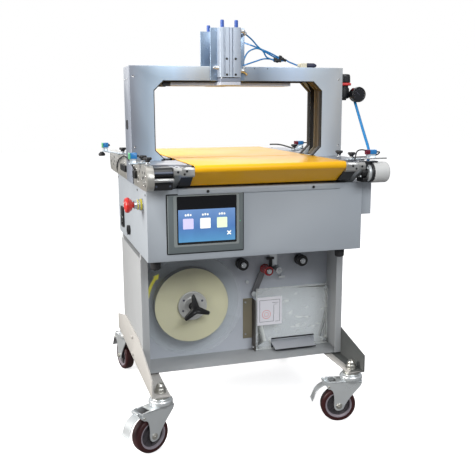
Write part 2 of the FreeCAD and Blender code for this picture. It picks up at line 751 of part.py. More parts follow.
def press_bar():
    """Bar across the arch, yoke under both cylinders, end blocks and four rods."""
    solids = [box(BAR_X, BAR_Y, BAR_Z)]
    yoke_x = (CYL_X[0] + BLOCK_GAP, CYL_X[1] - BLOCK_GAP)
    front = cylinder_span(SIDES[0])
    rear = cylinder_span(SIDES[1])
    solids.append(box(yoke_x, (front[1] + BLOCK_GAP, rear[1] - BLOCK_GAP), BAR_Z))
    for side in SIDES:
        y = cylinder_span(side)
        inner = (y[0] + side * BLOCK_GAP, y[1] - side * BLOCK_GAP)
        solids.append(box(yoke_x, inner, (BAR_Z[1], BAR_Z[1] + BLOCK_H)))
        rod_y = sum(y) / len(y)
        for x in ROD_X:
            solids.append(cyl_z(x, rod_y, (BAR_Z[0], ROD_TOP), ROD_R))
    return join(solids)


def air_fittings():
    solids = []
    for side in SIDES:
        y = cylinder_span(side)
        mid = sum(y) / len(y)
        for z in (CYL_Z[1] - FITTING_DOWN, CYL_Z[0] + FITTING_UP):
            solids.append(cyl_x((CYL_X[1], CYL_X[1] + FITTING_L), mid, z, FITTING_R))
        z = CYL_Z[0] + FITTING_UP + FITTING_DOWN
        solids.append(cyl_x((CYL_X[0] - FITTING_L, CYL_X[0]), mid, z, FITTING_R))
    valve_y = (VALVE_Y - VALVE_HALF, VALVE_Y + VALVE_HALF)
    solids.append(box(VALVE_X, valve_y, (ARCH_TOP, ARCH_TOP + VALVE_H)))
    silencer_x = (VALVE_X[1], VALVE_X[1] + SILENCER_L)
    solids.append(cyl_x(silencer_x, VALVE_Y, ARCH_TOP + SILENCER_R, SILENCER_R))
    return group(solids)


def regulator_body():
    column_x = ARCH_X + ARCH_HALF
    block = box((column_x, REG_X), (MID_Y - REG_BLOCK_HALF, MID_Y + REG_BLOCK_HALF), REG_Z)
    bowl = cyl_z(REG_X, MID_Y, REG_Z, REG_R)
    ring = cyl_z(REG_X, MID_Y, (REG_Z[1], REG_Z[1] + REG_RING_H), REG_RING_R)
    neck = cyl_y(GAUGE_X, (GAUGE_Y[0], MID_Y), GAUGE_Z, GAUGE_NECK_R)
    arm = cyl_x((REG_X, GAUGE_X), MID_Y, GAUGE_Z, GAUGE_NECK_R)
    elbow = Part.makeSphere(GAUGE_NECK_R, FreeCAD.Vector(GAUGE_X, MID_Y, GAUGE_Z))
    gauge = cyl_y(GAUGE_X, GAUGE_Y, GAUGE_Z, GAUGE_R)
    body = join([block, bowl, ring, neck, arm, elbow, gauge])
    seat_z = REG_Z[1] + REG_RING_H
    seat = cyl_z(REG_X, MID_Y, (seat_z - REG_SPINDLE_L - GAP, seat_z), REG_SPINDLE_R + RUN)
    port = cyl_z(REG_X, MID_Y, (REG_Z[0], REG_Z[0] + TUBE_DEEP), TUBE_R)
    return carve(body, [seat, port])


def regulator_knob():
    base = REG_Z[1] + REG_RING_H + RUN
    knob = cyl_z(REG_X, MID_Y, (base, base + REG_KNOB_H), REG_KNOB_R)
    top = [edge for edge in knob.Edges if edge.BoundBox.ZMin > base + REG_KNOB_H - GAP]
    knob = knob.makeFillet(CYL_CORNER, top)
    spindle = cyl_z(REG_X, MID_Y, (base - REG_SPINDLE_L, base), REG_SPINDLE_R)
    return join([knob, spindle])


# --------------------------------------------------------------- conveyor

def fillet_corners(solid, side):
    """Round the four long edges of a belt loop: the nose edge and three bends."""
    solid = solid.makeFillet(NOSE_R, [edge for edge in long_edges(solid) if is_nose(edge, side)])
    return solid.makeFillet(BEND_R, [edge for edge in long_edges(solid) if is_sharp_bend(edge, side)])


def long_edges(solid):
    return [edge for edge in solid.Edges if edge.BoundBox.XLength > CAB_HALF_Y]


def is_nose(edge, side):
    """True for the upper corner at the nose of a belt loop."""
    middle = edge.BoundBox.Center
    return side * middle.y > abs(end_y(HEEL_Y, side)) + BEND_R and middle.z > ROLLER_Z


def is_sharp_bend(edge, side):
    """True for the lower corners and the heel corner of a belt loop."""
    middle = edge.BoundBox.Center
    distance = side * (middle.y - MID_Y)
    lower = abs(middle.z - BELT_BOTTOM) < GAP
    heel = distance < BED_LONG[0]
    return lower or heel


def belt(side):
    """Closed belt loop with a small-radius nose and a slanted return."""
    outline = [(end_y(CORNER_Y, side), BELT_TOP), (end_y(HEEL_Y, side), BELT_BOTTOM),
               (MID_Y + side * BELT_GAP_HALF, BELT_BOTTOM), (MID_Y + side * BELT_GAP_HALF, BELT_TOP)]
    solid = fillet_corners(prism_x(outline, BELT_X), side)
    end = min(solid.Faces, key=lambda face: face.CenterOfMass.x)
    inner = Part.Face(end.OuterWire).makeOffset2D(-BELT_T)
    core = inner.extrude(X_AXIS * (BELT_X[1] - BELT_X[0]))
    return solid.cut(core)


def nose_roller(side):
    y = end_y(NOSE_Y, side)
    drum = cyl_x((BELT_X[0] + GAP, BELT_X[1] - GAP), y, ROLLER_Z, NOSE_R - BELT_T - RUN)
    shaft = cyl_x((SIDE_LEFT[0] + GAP, SIDE_RIGHT[1] - GAP), y, ROLLER_Z, ROLLER_SHAFT_R)
    return join([drum, shaft])


def side_outline(side, nose):
    """Side plate following the belt: flat top, nose, slanted front."""
    slope = (CORNER_Y - HEEL_Y) / (BELT_TOP - BELT_BOTTOM)
    top_cut = nose - BEND_R
    low = nose - (SIDE_TOP - BEND_R - CAB_TOP) * slope + BEND_R
    return [(MID_Y + side * SIDE_BACK, CAB_TOP), (MID_Y + side * SIDE_BACK, SIDE_TOP),
            (end_y(top_cut, side), SIDE_TOP), (end_y(nose, side), SIDE_TOP - BEND_R),
            (end_y(nose, side), NOSE_BAR_Z[0] + BEND_R), (end_y(low, side), CAB_TOP)]


def nose_bar(x, side):
    """Stepped bar end beside the belt nose."""
    near, far = NOSE_BAR_LONG
    low, high = NOSE_BAR_Z
    step = end_y(far - NOSE_STEP, side)
    tip = end_y(far, side)
    outline = [(end_y(near, side), low), (end_y(near, side), high), (step, high), (step, high - NOSE_STEP),
               (tip, high - NOSE_STEP), (tip, low + NOSE_STEP), (step, low)]
    return prism_x(outline, x)


def outer_plate(side):
    """Machined outer plate on the left with a round nose."""
    radius = (OUTER_Z[1] - OUTER_Z[0]) / 2.0
    mid_z = sum(OUTER_Z) / len(OUTER_Z)
    plate = box(OUTER_X, along(SIDE_BACK, OUTER_NOSE - radius, side), OUTER_Z)
    nose = cyl_x(OUTER_X, end_y(OUTER_NOSE - radius, side), mid_z, radius)
    foot = box(OUTER_X, along(SIDE_BACK, OUTER_NOSE - 2.0 * radius, side), (CAB_TOP, OUTER_Z[0]))
    return join([plate, nose, foot])


def conveyor_frame():
    solids = []
    for side in SIDES:
        shaft_hole = cyl_x((SIDE_LEFT[0], SIDE_RIGHT[1]), end_y(NOSE_Y, side), ROLLER_Z,
                           ROLLER_SHAFT_R + RUN)
        for x in (SIDE_LEFT, SIDE_RIGHT):
            solids.append(prism_x(side_outline(side, SIDE_NOSE), x).cut(shaft_hole))
        for x in ((SIDE_LEFT[1], BELT_X[0] - GAP), (BELT_X[1] + GAP, SIDE_RIGHT[0])):
            solids.append(nose_bar(x, side).cut(shaft_hole))
        solids.append(box((SIDE_LEFT[1], SIDE_RIGHT[0]), along(BED_LONG[0], BED_LONG[1], side), BED_Z)
                      .cut(bed_relief(side)))
        solids.append(outer_plate(side))
        solids.append(cyl_x((OUTER_X[1], SIDE_LEFT[0]), end_y(TIE_LONG, side), TIE_Z, TIE_R))
    return group(solids + deck_plates())


def bed_relief(side):
    """Lowers the slider bed outside the belt width so the deck plates clear it."""
    span = along(BED_LONG[0], BED_LONG[1], side)
    left = box((SIDE_LEFT[1], BELT_X[0]), span, (SIDE_TOP, BED_Z[1]))
    right = box((BELT_X[1], SIDE_RIGHT[0]), span, (SIDE_TOP, BED_Z[1]))
    beside_foot = (MID_Y, MID_Y + side * SIDE_BACK)
    foot_left = box((SIDE_LEFT[1], ARCH_X - ARCH_FOOT_HALF + GAP), beside_foot, BED_Z)
    foot_right = box((ARCH_X + ARCH_FOOT_HALF - GAP, SIDE_RIGHT[0]), beside_foot, BED_Z)
    return group([left, right, foot_left, foot_right])


def deck_plates():
    solids = []
    z = (SIDE_TOP, SIDE_TOP + DECK_T)
    for side in SIDES:
        solids.append(box(DECK_LEFT, along(DECK_LONG[0], DECK_LONG[1], side), z))
        solids.append(box(DECK_RIGHT, along(DECK_LONG[0], DECK_RIGHT_FAR, side), z))
    return solids


def belt_drives():
    """Drive units in the bay left of the belts, and the drum with its clamp at the right front."""
    x = (OUTER_X[1] + GAP, SIDE_LEFT[0] - GAP)
    solids = []
    for side in SIDES:
        back = end_y(DRIVE_LONG[0], side)
        solids.append(box(x, (back, end_y(DRIVE_LONG[1], side)), DRIVE_UP_Z))
        solids.append(box(x, (back, end_y(DRIVE_LONG[1] - TIE_R, side)), DRIVE_LOW_Z))
    drum = [cyl_x((x0, x1), DRUM_Y, DRUM_Z, radius) for x0, x1, radius in DRUM_STEPS]
    clamp = box(CLAMP_X, CLAMP_Y, CLAMP_Z)
    solids.append(join(drum + [clamp]))
    return group(solids)


# ---------------------------------------------------------------- sensors

def thumb_knob(x, y, seat):
    stem = cyl_z(x, y, (seat, seat + KNOB_STEM_H + KNOB_H), KNOB_STEM_R)
    head_z = seat + KNOB_STEM_H
    neck = Part.makeCone(KNOB_NECK_R, KNOB_R, KNOB_H / 2.0, FreeCAD.Vector(x, y, head_z), Z_AXIS)
    cap = cyl_z(x, y, (head_z + KNOB_H / 2.0, head_z + KNOB_H), KNOB_R)
    return join([stem, neck, cap])


DECK_TOP = SIDE_TOP + DECK_T


def thumb_knobs():
    left = [(KNOB_LEFT_X, y, OUTER_Z[1]) for y in (KNOB_FL_Y, KNOB_FL2_Y, KNOB_RL_Y)]
    right = [(KNOB_RIGHT_X, y, DECK_TOP) for y in (KNOB_FR_Y, KNOB_FR2_Y, KNOB_RR_Y)]
    return group([thumb_knob(x, y, seat) for x, y, seat in left + right])


def sensor_carriage(knob, sensor, seat, size):
    """Slotted bracket under a thumb knob carrying one photoelectric sensor."""
    outward = 1.0 if sensor[0] > knob[0] else -1.0
    along_y = 1.0 if sensor[1] > knob[1] else -1.0
    base = seat + RUN
    inner_x = knob[0] - outward * BRACKET_END
    z = (base, base + SENSOR_T)
    grip = box((inner_x, knob[0] + outward * BRACKET_END),
               (knob[1] - BRACKET_HALF, knob[1] + BRACKET_HALF), z)
    reach_x = sensor[0] + outward * size[0] / 2.0
    outline = [(knob[0], knob[1] + along_y * BRACKET_HALF), (knob[0], knob[1] - along_y * BRACKET_HALF),
               (reach_x, sensor[1] - along_y * BRACKET_HALF), (reach_x, sensor[1] + along_y * BRACKET_HALF),
               (sensor[0] - outward * size[0] / 2.0, sensor[1] + along_y * BRACKET_HALF)]
    shelf = prism_z(outline, z)
    riser_z = (z[1], z[1] + SENSOR_RISER)
    block_x = (sensor[0] - size[0] / 2.0, sensor[0] + size[0] / 2.0)
    block_y = (sensor[1] - size[1] / 2.0, sensor[1] + size[1] / 2.0)
    riser = box((block_x[0] + SENSOR_T, block_x[1] - SENSOR_T), block_y, riser_z)
    block = box(block_x, block_y, (riser_z[1], riser_z[1] + size[2]))
    slot_r = KNOB_STEM_R + SLOT_EXTRA
    slot = box((knob[0] - SLOT_HALF_L + slot_r, knob[0] + SLOT_HALF_L - slot_r),
               (knob[1] - slot_r, knob[1] + slot_r), z)
    ends = [cyl_z(knob[0] + side * (SLOT_HALF_L - slot_r), knob[1], z, slot_r) for side in SIDES]
    return carve(join([grip, shelf, riser, block]), [slot] + ends)


# --------------------------------------------------------------- film path

def film_roll():
    return cyl_y(REEL_X, FILM_Y, REEL_Z, FILM_R).cut(cyl_y(REEL_X, FILM_Y, REEL_Z, REEL_CORE_R))


def reel_discs():
    discs = []
    for y in ((FILM_Y[0] - DISC_T, FILM_Y[0]), (FILM_Y[1], FILM_Y[1] + DISC_T)):
        disc = cyl_y(REEL_X, y, REEL_Z, DISC_R)
        discs.append(disc.cut(cyl_y(REEL_X, y, REEL_Z, REEL_CORE_R)))
    return group(discs)


def reel_hub():
    face_y = FILM_Y[0] - DISC_T
    core = cyl_y(REEL_X, (face_y, HUB_BACK_Y), REEL_Z, REEL_CORE_R)
    flange = cyl_y(REEL_X, (face_y - HUB_FLANGE_T, face_y), REEL_Z, HUB_FLANGE_R)
    spindle = cyl_y(REEL_X, (HUB_BACK_Y, SPINDLE_END_Y), REEL_Z, SPINDLE_R)
    return join([core, flange, spindle])


def reel_knob():
    """Hand knob with three lobes that clamps the reel."""
    back = FILM_Y[0] - DISC_T - HUB_FLANGE_T
    y = (back - REEL_KNOB_T, back)
    solids = [cyl_y(REEL_X, y, REEL_Z, REEL_KNOB_R)]
    lobe_y = (back - REEL_KNOB_T, back - REEL_KNOB_T + REEL_LOBE_T)
    for turn in (REEL_LOBE_TURN, REEL_LOBE_TURN + 120.0, REEL_LOBE_TURN + 240.0):
        angle = math.radians(turn)
        direction = (math.cos(angle), math.sin(angle))
        across = (-direction[1], direction[0])
        tip = (REEL_X + direction[0] * REEL_LOBE_REACH, REEL_Z + direction[1] * REEL_LOBE_REACH)
        lobe = [(REEL_X + across[0] * REEL_KNOB_R, REEL_Z + across[1] * REEL_KNOB_R),
                (REEL_X - across[0] * REEL_KNOB_R, REEL_Z - across[1] * REEL_KNOB_R),
                (tip[0] - across[0] * REEL_LOBE_R, tip[1] - across[1] * REEL_LOBE_R),
                (tip[0] + across[0] * REEL_LOBE_R, tip[1] + across[1] * REEL_LOBE_R)]
        solids.append(prism_y(lobe, lobe_y))
        solids.append(cyl_y(tip[0], lobe_y, tip[1], REEL_LOBE_R))
    return join(solids)


def guide_roller(x):
    return cyl_y(x, GUIDE_Y, GUIDE_Z, GUIDE_R).cut(cyl_y(x, GUIDE_Y, GUIDE_Z, PIN_R + RUN))


def dancer_arm():
    length = math.hypot(ARM_DX, ARM_DZ)
    across = (ARM_DZ / length * ARM_HALF, -ARM_DX / length * ARM_HALF)
    end = (ARM_X + ARM_DX, ARM_Z + ARM_DZ)
    outline = [(ARM_X + across[0], ARM_Z + across[1]), (end[0] + across[0], end[1] + across[1]),
               (end[0] - across[0], end[1] - across[1]), (ARM_X - across[0], ARM_Z - across[1])]
    solids = [prism_y(outline, ARM_Y), cyl_y(ARM_X, ARM_Y, ARM_Z, ARM_HALF),
              cyl_y(end[0], ARM_Y, end[1], ARM_HALF),
              cyl_y(end[0], (DANCER_Y[0] - PIN_HEAD_T, ARM_Y[0]), end[1], DANCER_PIN_R),
              cyl_y(end[0], (DANCER_Y[0] - PIN_HEAD_T, DANCER_Y[0] - GAP), end[1], PIN_HEAD_R)]
    return join(solids).cut(cyl_y(ARM_X, ARM_Y, ARM_Z, PIN_R + RUN))


def dancer_roller():
    x = ARM_X + ARM_DX
    z = ARM_Z + ARM_DZ
    return cyl_y(x, DANCER_Y, z, DANCER_R).cut(cyl_y(x, DANCER_Y, z, DANCER_PIN_R + RUN))


def roller_pin(x, z, roller_y):
    pin = cyl_y(x, (roller_y - GAP - PIN_HEAD_T, WALL_Y), z, PIN_R)
    head = cyl_y(x, (roller_y - GAP - PIN_HEAD_T, roller_y - GAP), z, PIN_HEAD_R)
    return join([pin, head])


def flap_pin():
    pin = cyl_x((FLAP_X[0] - LUG_HALF, FLAP_X[1] + LUG_HALF), FLAP_HINGE_Y, FLAP_HINGE_Z, FLAP_PIN_R)
    solids = [pin]
    z = (FLAP_HINGE_Z - LUG_HALF, FLAP_HINGE_Z + LUG_HALF)
    for x in ((FLAP_X[0] - 2.0 * LUG_HALF, FLAP_X[0] - GAP), (FLAP_X[1] + GAP, FLAP_X[1] + 2.0 * LUG_HALF)):
        solids.append(box(x, (FLAP_HINGE_Y - LUG_HALF, WALL_Y), z))
    return join(solids)


def wall_fittings():
    """Pins, standoffs, hanger and flap hinge fixed to the upright wall."""
    solids = [roller_pin(x, GUIDE_Z, GUIDE_Y[0]) for x in GUIDE_X]
    solids.append(roller_pin(ARM_X, ARM_Z, ARM_Y[0]))
    for x, z in STANDOFF_POS:
        post = cyl_y(x, (COVER_PANEL_Y[1], WALL_Y), z, STANDOFF_R)
        screw = cyl_y(x, COVER_PANEL_Y, z, STANDOFF_SCREW_R)
        head = cyl_y(x, (COVER_PANEL_Y[0] - PIN_HEAD_T, COVER_PANEL_Y[0]), z, STANDOFF_R)
        solids.append(join([post, screw, head]))
    hanger = box(HANGER_X, (WALL_Y - RAIL_T, WALL_Y), HANGER_Z)
    solids.append(join([hanger, cyl_y(EXIT_X, (EXIT_Y, WALL_Y), EXIT_Z, EXIT_R)]))
    lever = cyl_y(LEVER_X, (LEVER_Y, WALL_Y), LEVER_Z, LEVER_R)
    grip = box((LEVER_X - EXIT_R, LEVER_X + EXIT_R), (LEVER_Y, LEVER_Y + RAIL_T),
               (LEVER_Z - LUG_HALF, LEVER_Z + LUG_HALF))
    solids.append(join([lever, grip]))
    solids.append(cyl_y(PEG_X, (WALL_Y - PEG_L, WALL_Y), PEG_Z, STANDOFF_R))
    solids.append(flap_pin())
    return group(solids)


def cover_panel():
    panel = box(COVER_X, COVER_PANEL_Y, COVER_PANEL_Z)
    window = box(FLAP_WINDOW[:2], COVER_PANEL_Y, FLAP_WINDOW[2:])
    holes = [cyl_y(x, COVER_PANEL_Y, z, STANDOFF_SCREW_R) for x, z in STANDOFF_POS]
    return carve(panel, [window] + holes)


def cover_guard():
    """Bent guard between the reel bay and the clear cover."""
    foot = box(GUARD_X, (WALL_Y - SHEET, WALL_Y), (GUARD_FOOT_Z, GUARD_Z[1]))
    blade = box((GUARD_X[1] - SHEET, GUARD_X[1]), (GUARD_Y, WALL_Y), GUARD_Z)
    return join([foot, blade])


def scrap_flap():
    barrel = cyl_x(FLAP_X, FLAP_HINGE_Y, FLAP_HINGE_Z, FLAP_BARREL_R)
    length = math.hypot(FLAP_REACH, FLAP_DROP)
    half = FLAP_T / 2.0
    normal = (-FLAP_DROP / length * half, FLAP_REACH / length * half)
    tip = (FLAP_HINGE_Y - FLAP_REACH, FLAP_HINGE_Z - FLAP_DROP)
    outline = [(FLAP_HINGE_Y + normal[0], FLAP_HINGE_Z + normal[1]),
               (tip[0] + normal[0], tip[1] + normal[1]),
               (tip[0] - normal[0], tip[1] - normal[1]),
               (FLAP_HINGE_Y - normal[0], FLAP_HINGE_Z - normal[1])]
    plate = prism_x(outline, FLAP_X)
    bore = cyl_x(FLAP_X, FLAP_HINGE_Y, FLAP_HINGE_Z, FLAP_PIN_R + RUN)
    return join([barrel, plate]).cut(bore)


# ---------------------------------------------------------------- assembly

def all_nodes():
    nodes = {
        "cabinet_shell": cabinet_shell(),
        "rubber_feet": rubber_feet(),
        "hmi_bezel": hmi_bezel(),
        "hmi_screen": hmi_screen(),
        "cover_plates": cover_plates(),
        "estop_base": estop_base(),
        "estop_button": estop_button(),
        "side_inlet": side_inlet(),
        "rocker_switch": rocker_switch(),
        "leg_panels": leg_panels(),
        "shelf_tray": shelf_tray(),
        "foot_rails": foot_rails(),
        "castor_stems": castor_stems(),
        "arch_frame": arch_frame(),
        "film_track": film_track(),
        "press_brackets": press_brackets(),
        "air_cylinders": air_cylinders(),
        "press_bar": press_bar(),
        "air_fittings": air_fittings(),
        "regulator_body": regulator_body(),
        "regulator_knob": regulator_knob(),
        "belt_front": belt(SIDES[0]),
        "belt_rear": belt(SIDES[1]),
        "nose_roller_front": nose_roller(SIDES[0]),
        "nose_roller_rear": nose_roller(SIDES[1]),
        "conveyor_frame": conveyor_frame(),
        "belt_drives": belt_drives(),
        "thumb_knobs": thumb_knobs(),
        "sensor_fl": sensor_carriage((KNOB_LEFT_X, KNOB_FL_Y), SENSOR_FL, OUTER_Z[1], SENSOR_LEFT),
        "sensor_rl": sensor_carriage((KNOB_LEFT_X, KNOB_RL_Y), SENSOR_RL, OUTER_Z[1], SENSOR_LEFT),
        "sensor_fr": sensor_carriage((KNOB_RIGHT_X, KNOB_FR_Y), SENSOR_FR, DECK_TOP, SENSOR_RIGHT),
        "sensor_rr": sensor_carriage((KNOB_RIGHT_X, KNOB_RR_Y), SENSOR_RR, DECK_TOP, SENSOR_RIGHT),
        "film_roll": film_roll(),
        "reel_discs": reel_discs(),
        "reel_hub": reel_hub(),
        "reel_knob": reel_knob(),
        "guide_roller_left": guide_roller(GUIDE_X[0]),
        "guide_roller_right": guide_roller(GUIDE_X[1]),
        "dancer_arm": dancer_arm(),
        "dancer_roller": dancer_roller(),
        "wall_fittings": wall_fittings(),
        "cover_panel": cover_panel(),
        "cover_guard": cover_guard(),
        "scrap_flap": scrap_flap(),
    }
    for corner in CASTOR_TURN:
        nodes["fork_" + corner] = at_castor(castor_fork(), corner)
        nodes["rim_" + corner] = at_castor(castor_rim(), corner)
        nodes["tyre_" + corner] = at_castor(castor_tyre(), corner)
        nodes["pedal_" + corner] = at_castor(castor_pedal(), corner)
    return nodes


def write_parts():
    os.makedirs("parts", exist_ok=True)
    for name, shape in all_nodes().items():
        shape.translate(FreeCAD.Vector(MIDDLE_X, MIDDLE_Y, -FLOOR_Z))
        shape.exportStep("parts/" + name + ".step")


write_parts()
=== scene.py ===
from math import cos, degrees, hypot, pi, radians, sin

import bmesh
import bpy
from mathutils import Matrix, Vector


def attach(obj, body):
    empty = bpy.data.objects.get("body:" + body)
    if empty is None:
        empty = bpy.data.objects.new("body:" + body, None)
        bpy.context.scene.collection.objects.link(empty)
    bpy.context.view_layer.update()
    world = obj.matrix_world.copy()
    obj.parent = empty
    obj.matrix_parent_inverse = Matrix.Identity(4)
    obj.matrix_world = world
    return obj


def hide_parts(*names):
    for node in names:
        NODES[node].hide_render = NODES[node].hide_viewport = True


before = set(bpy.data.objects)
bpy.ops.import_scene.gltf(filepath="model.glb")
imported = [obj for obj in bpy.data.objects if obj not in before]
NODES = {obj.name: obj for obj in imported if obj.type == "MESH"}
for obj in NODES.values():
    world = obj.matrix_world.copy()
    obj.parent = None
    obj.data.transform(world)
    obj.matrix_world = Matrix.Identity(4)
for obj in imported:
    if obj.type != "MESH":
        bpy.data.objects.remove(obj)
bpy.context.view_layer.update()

ROOT = "machine"
SHIFT = Vector((5.076, -47.218, 10))  # drawing millimetres to the row frame's
LEFT, RIGHT = (-1, 0, 0), (1, 0, 0)
FRONT, REAR = (0, -1, 0), (0, 1, 0)
DOWN, UP = (0, 0, -1), (0, 0, 1)
SIDES = (-1, 1)
MAT = {}


def mm(x, y, z):
    """Point of the drawing (mm, middle of the cabinet) in the row frame."""
    return (Vector((x, y, z)) + SHIFT) / 1000


# --- materials

def srgb(*color):
    def linear(c):
        c /= 255
        return c / 12.92 if c <= 0.04045 else ((c + 0.055) / 1.055) ** 2.4
    return tuple(linear(c) for c in color) + (1,)


def feed(tree, node, inputs):
    """Sets a node's inputs by name or number: a socket is linked, anything else is a value."""
    for key, value in inputs.items():
        if isinstance(value, bpy.types.NodeSocket):
            tree.links.new(value, node.inputs[key])
        else:
            node.inputs[key].default_value = value


def make(tree, kind, inputs=None, **properties):
    node = tree.nodes.new("ShaderNode" + kind)
    for key, value in properties.items():
        setattr(node, key, value)
    feed(tree, node, inputs or {})
    return node


def material(key):
    MAT[key] = bpy.data.materials.new(key)
    MAT[key].use_nodes = True
    tree = MAT[key].node_tree
    return tree, tree.nodes["Principled BSDF"]


def noise(tree, scale, detail=4, stretch=(1, 1, 1), seed=0):
    place = make(tree, "Mapping", {"Vector": make(tree, "TexCoord").outputs["Object"],
                                   "Location": (seed, seed * 0.7, seed * 0.3), "Scale": stretch})
    return make(tree, "TexNoise", {"Vector": place.outputs["Vector"], "Scale": scale,
                                   "Detail": detail}).outputs["Fac"]


def remap(tree, value, low, high, start=0, end=1):
    return make(tree, "MapRange", {"Value": value, "From Min": start, "From Max": end,
                                   "To Min": low, "To Max": high}).outputs["Result"]


def calc(tree, operation, *values, clamp=False):
    return make(tree, "Math", dict(enumerate(values)), operation=operation,
                use_clamp=clamp).outputs["Value"]


def mix_color(tree, factor, a, b, blend="MIX"):
    return make(tree, "Mix", {"Factor": factor, "A": a, "B": b}, data_type="RGBA",
                blend_type=blend).outputs["Result"]


def vary(tree, color, amount, value):
    """Colour a little darker and lighter along a noise value."""
    dark = tuple(c * (1 - amount) for c in color[:3]) + (1,)
    light = tuple(min(1, c * (1 + amount)) for c in color[:3]) + (1,)
    return mix_color(tree, value, dark, light)


def ramp(tree, value, stops):
    """Colour along a value, from (position, colour) stops."""
    node = make(tree, "ValToRGB", {"Fac": value})
    elements = node.color_ramp.elements
    for element, (at, color) in ((elements[0], stops[0]), (elements[1], stops[-1])):
        element.position, element.color = at, color
    for at, color in stops[1:-1]:
        elements.new(at).color = color
    return node.outputs["Color"]


def bump(tree, bsdf, value, strength):
    relief = make(tree, "Bump", {"Strength": strength, "Distance": 0.0004, "Height": value})
    feed(tree, bsdf, {"Normal": relief.outputs["Normal"]})


def place_along(tree, axis, start, end):
    """0 to 1 between two places on an axis of the row frame."""
    split = make(tree, "SeparateXYZ", {"Vector": make(tree, "TexCoord").outputs["Object"]})
    return remap(tree, split.outputs[axis], 0, 1, start, end)


def finish(key, color, rough, metal=0, amount=0.06, grain=900, relief=0.12, stretch=(1, 1, 1), coat=0, seed=0):
    """General procedural finish: mottled colour, uneven gloss and a fine relief."""
    tree, bsdf = material(key)
    broad = noise(tree, 14, 3, seed=seed)
    feed(tree, bsdf, {"Base Color": vary(tree, srgb(*color), amount, broad),
                      "Roughness": remap(tree, broad, rough * 0.8, min(1, rough * 1.25)),
                      "Metallic": metal, "Coat Weight": coat, "Coat Roughness": 0.12})
    bump(tree, bsdf, noise(tree, grain, 3, stretch, seed + 5), relief)


def clear_sheet(key, tint, body, glint_amount=0):
    """Clear plastic sheet: see-through, with a pale haze, painted highlights in thin streak shapes, and reflections.
    """
    tree, bsdf = material(key)
    smear = noise(tree, 9, 4, (1, 1, 0.25), 3)
    feed(tree, bsdf, {"Base Color": srgb(*tint), "Roughness": remap(tree, smear, 0.06, 0.24)})
    see = make(tree, "BsdfTransparent", {"Color": (0.985, 0.99, 0.99, 1)})
    # painted highlight: thin streak shapes of noise brighten the haze, standing for white reflections of light
    glint_streak = remap(tree, noise(tree, 55, 2, (0.5, 1, 1.3), 9), 0, glint_amount, 0.63, 0.70)
    haze = calc(tree, "ADD", remap(tree, smear, body * 0.5, body * 1.6), glint_streak)
    edge = make(tree, "Fresnel", {"IOR": 1.45}).outputs["Fac"]
    shown = calc(tree, "ADD", edge, haze, clamp=True)
    no_shadow = calc(tree, "MULTIPLY_ADD", make(tree, "LightPath").outputs["Is Shadow Ray"], -1, 1)
    mix = make(tree, "MixShader", {"Fac": calc(tree, "MULTIPLY", shown, no_shadow),
                                   1: see.outputs["BSDF"], 2: bsdf.outputs["BSDF"]})
    feed(tree, tree.nodes["Material Output"], {"Surface": mix.outputs["Shader"]})


def painted_reflection_finish(key, bands, rough, metal):
    """Satin sheet with painted reflections: soft light and dark bands across X, given in drawing millimetres."""
    tree, bsdf = material(key)
    first, last = bands[0][0], bands[-1][0]
    along = place_along(tree, "X", mm(first, 0, 0).x, mm(last, 0, 0).x)
    color = ramp(tree, along, [((x - first) / (last - first), srgb(*c)) for x, c in bands])
    broad = noise(tree, 14, 3, seed=1)
    mottle = vary(tree, (0.97, 0.97, 0.97), 0.03, broad)
    feed(tree, bsdf, {"Base Color": mix_color(tree, 1, color, mottle, "MULTIPLY"),
                      "Roughness": remap(tree, broad, rough * 0.85, rough * 1.2),
                      "Metallic": metal})
    bump(tree, bsdf, noise(tree, 900, 3, seed=6), 0.06)


def wound_film(key, color, centre):
    """Film wound on a reel: fine rings round the reel axis, which runs along Y."""
    tree, bsdf = material(key)
    vector = make(tree, "TexCoord").outputs["Object"]
    for operation, by in (("SUBTRACT", centre), ("MULTIPLY", (1, 0, 1))):
        vector = make(tree, "VectorMath", {0: vector, 1: by}, operation=operation).outputs["Vector"]
    length = make(tree, "VectorMath", {0: vector}, operation="LENGTH").outputs["Value"]
    rings = make(tree, "TexNoise", {"W": length, "Scale": 420, "Detail": 4},
                 noise_dimensions="1D").outputs["Fac"]
    feed(tree, bsdf, {"Base Color": vary(tree, srgb(*color), 0.12, rings),
                      "Roughness": remap(tree, rings, 0.3, 0.5), "Subsurface Weight": 0.15,
                      "Subsurface Radius": (0.01, 0.01, 0.006)})
    bump(tree, bsdf, rings, 0.25)


def lit_screen(key, low, high):
    """Back-lit blue display, lighter and greener towards the bottom."""
    tree, bsdf = material(key)
    color = ramp(tree, place_along(tree, "Z", mm(0, 0, low).z, mm(0, 0, high).z), [(0, srgb(84, 146, 190)), (0.45,
        srgb(78, 118, 176)), (1, srgb(110, 144, 194))])
    shown = mix_color(tree, 0.25, color, noise(tree, 30, 2), "MULTIPLY")
    feed(tree, bsdf, {"Base Color": (0.01, 0.02, 0.04, 1), "Roughness": 0.15,
                      "Emission Color": shown, "Emission Strength": 1.25})


def glow(key, color, strength):
    tree = MAT[key].node_tree
    feed(tree, tree.nodes["Principled BSDF"],
         {"Emission Color": srgb(*color), "Emission Strength": strength})


REEL_X, REEL_Z = -146, 322
# painted reflections on the arch: light and dark bands of colour across X, for the bright and dim reflections on its
# satin sheet
ARCH_REFLECTION_BANDS = ((-300, (138, 144, 156)), (-264, (156, 172, 189)), (-227, (188, 210, 232)), (-189, (199, 222, 246)),
    (-151, (198, 211, 226)), (-113, (186, 193, 199)), (46, (140, 154, 172)), (87, (172, 190, 212)), (140,
    (198, 217, 242)), (175, (202, 220, 243)), (213, (198, 211, 224)), (256, (187, 196, 206)), (290, (184, 188, 192)))
ALONG_Y, ALONG_Z = (1, 0.06, 1), (1, 1, 0.05)  # how brushed grain is stretched

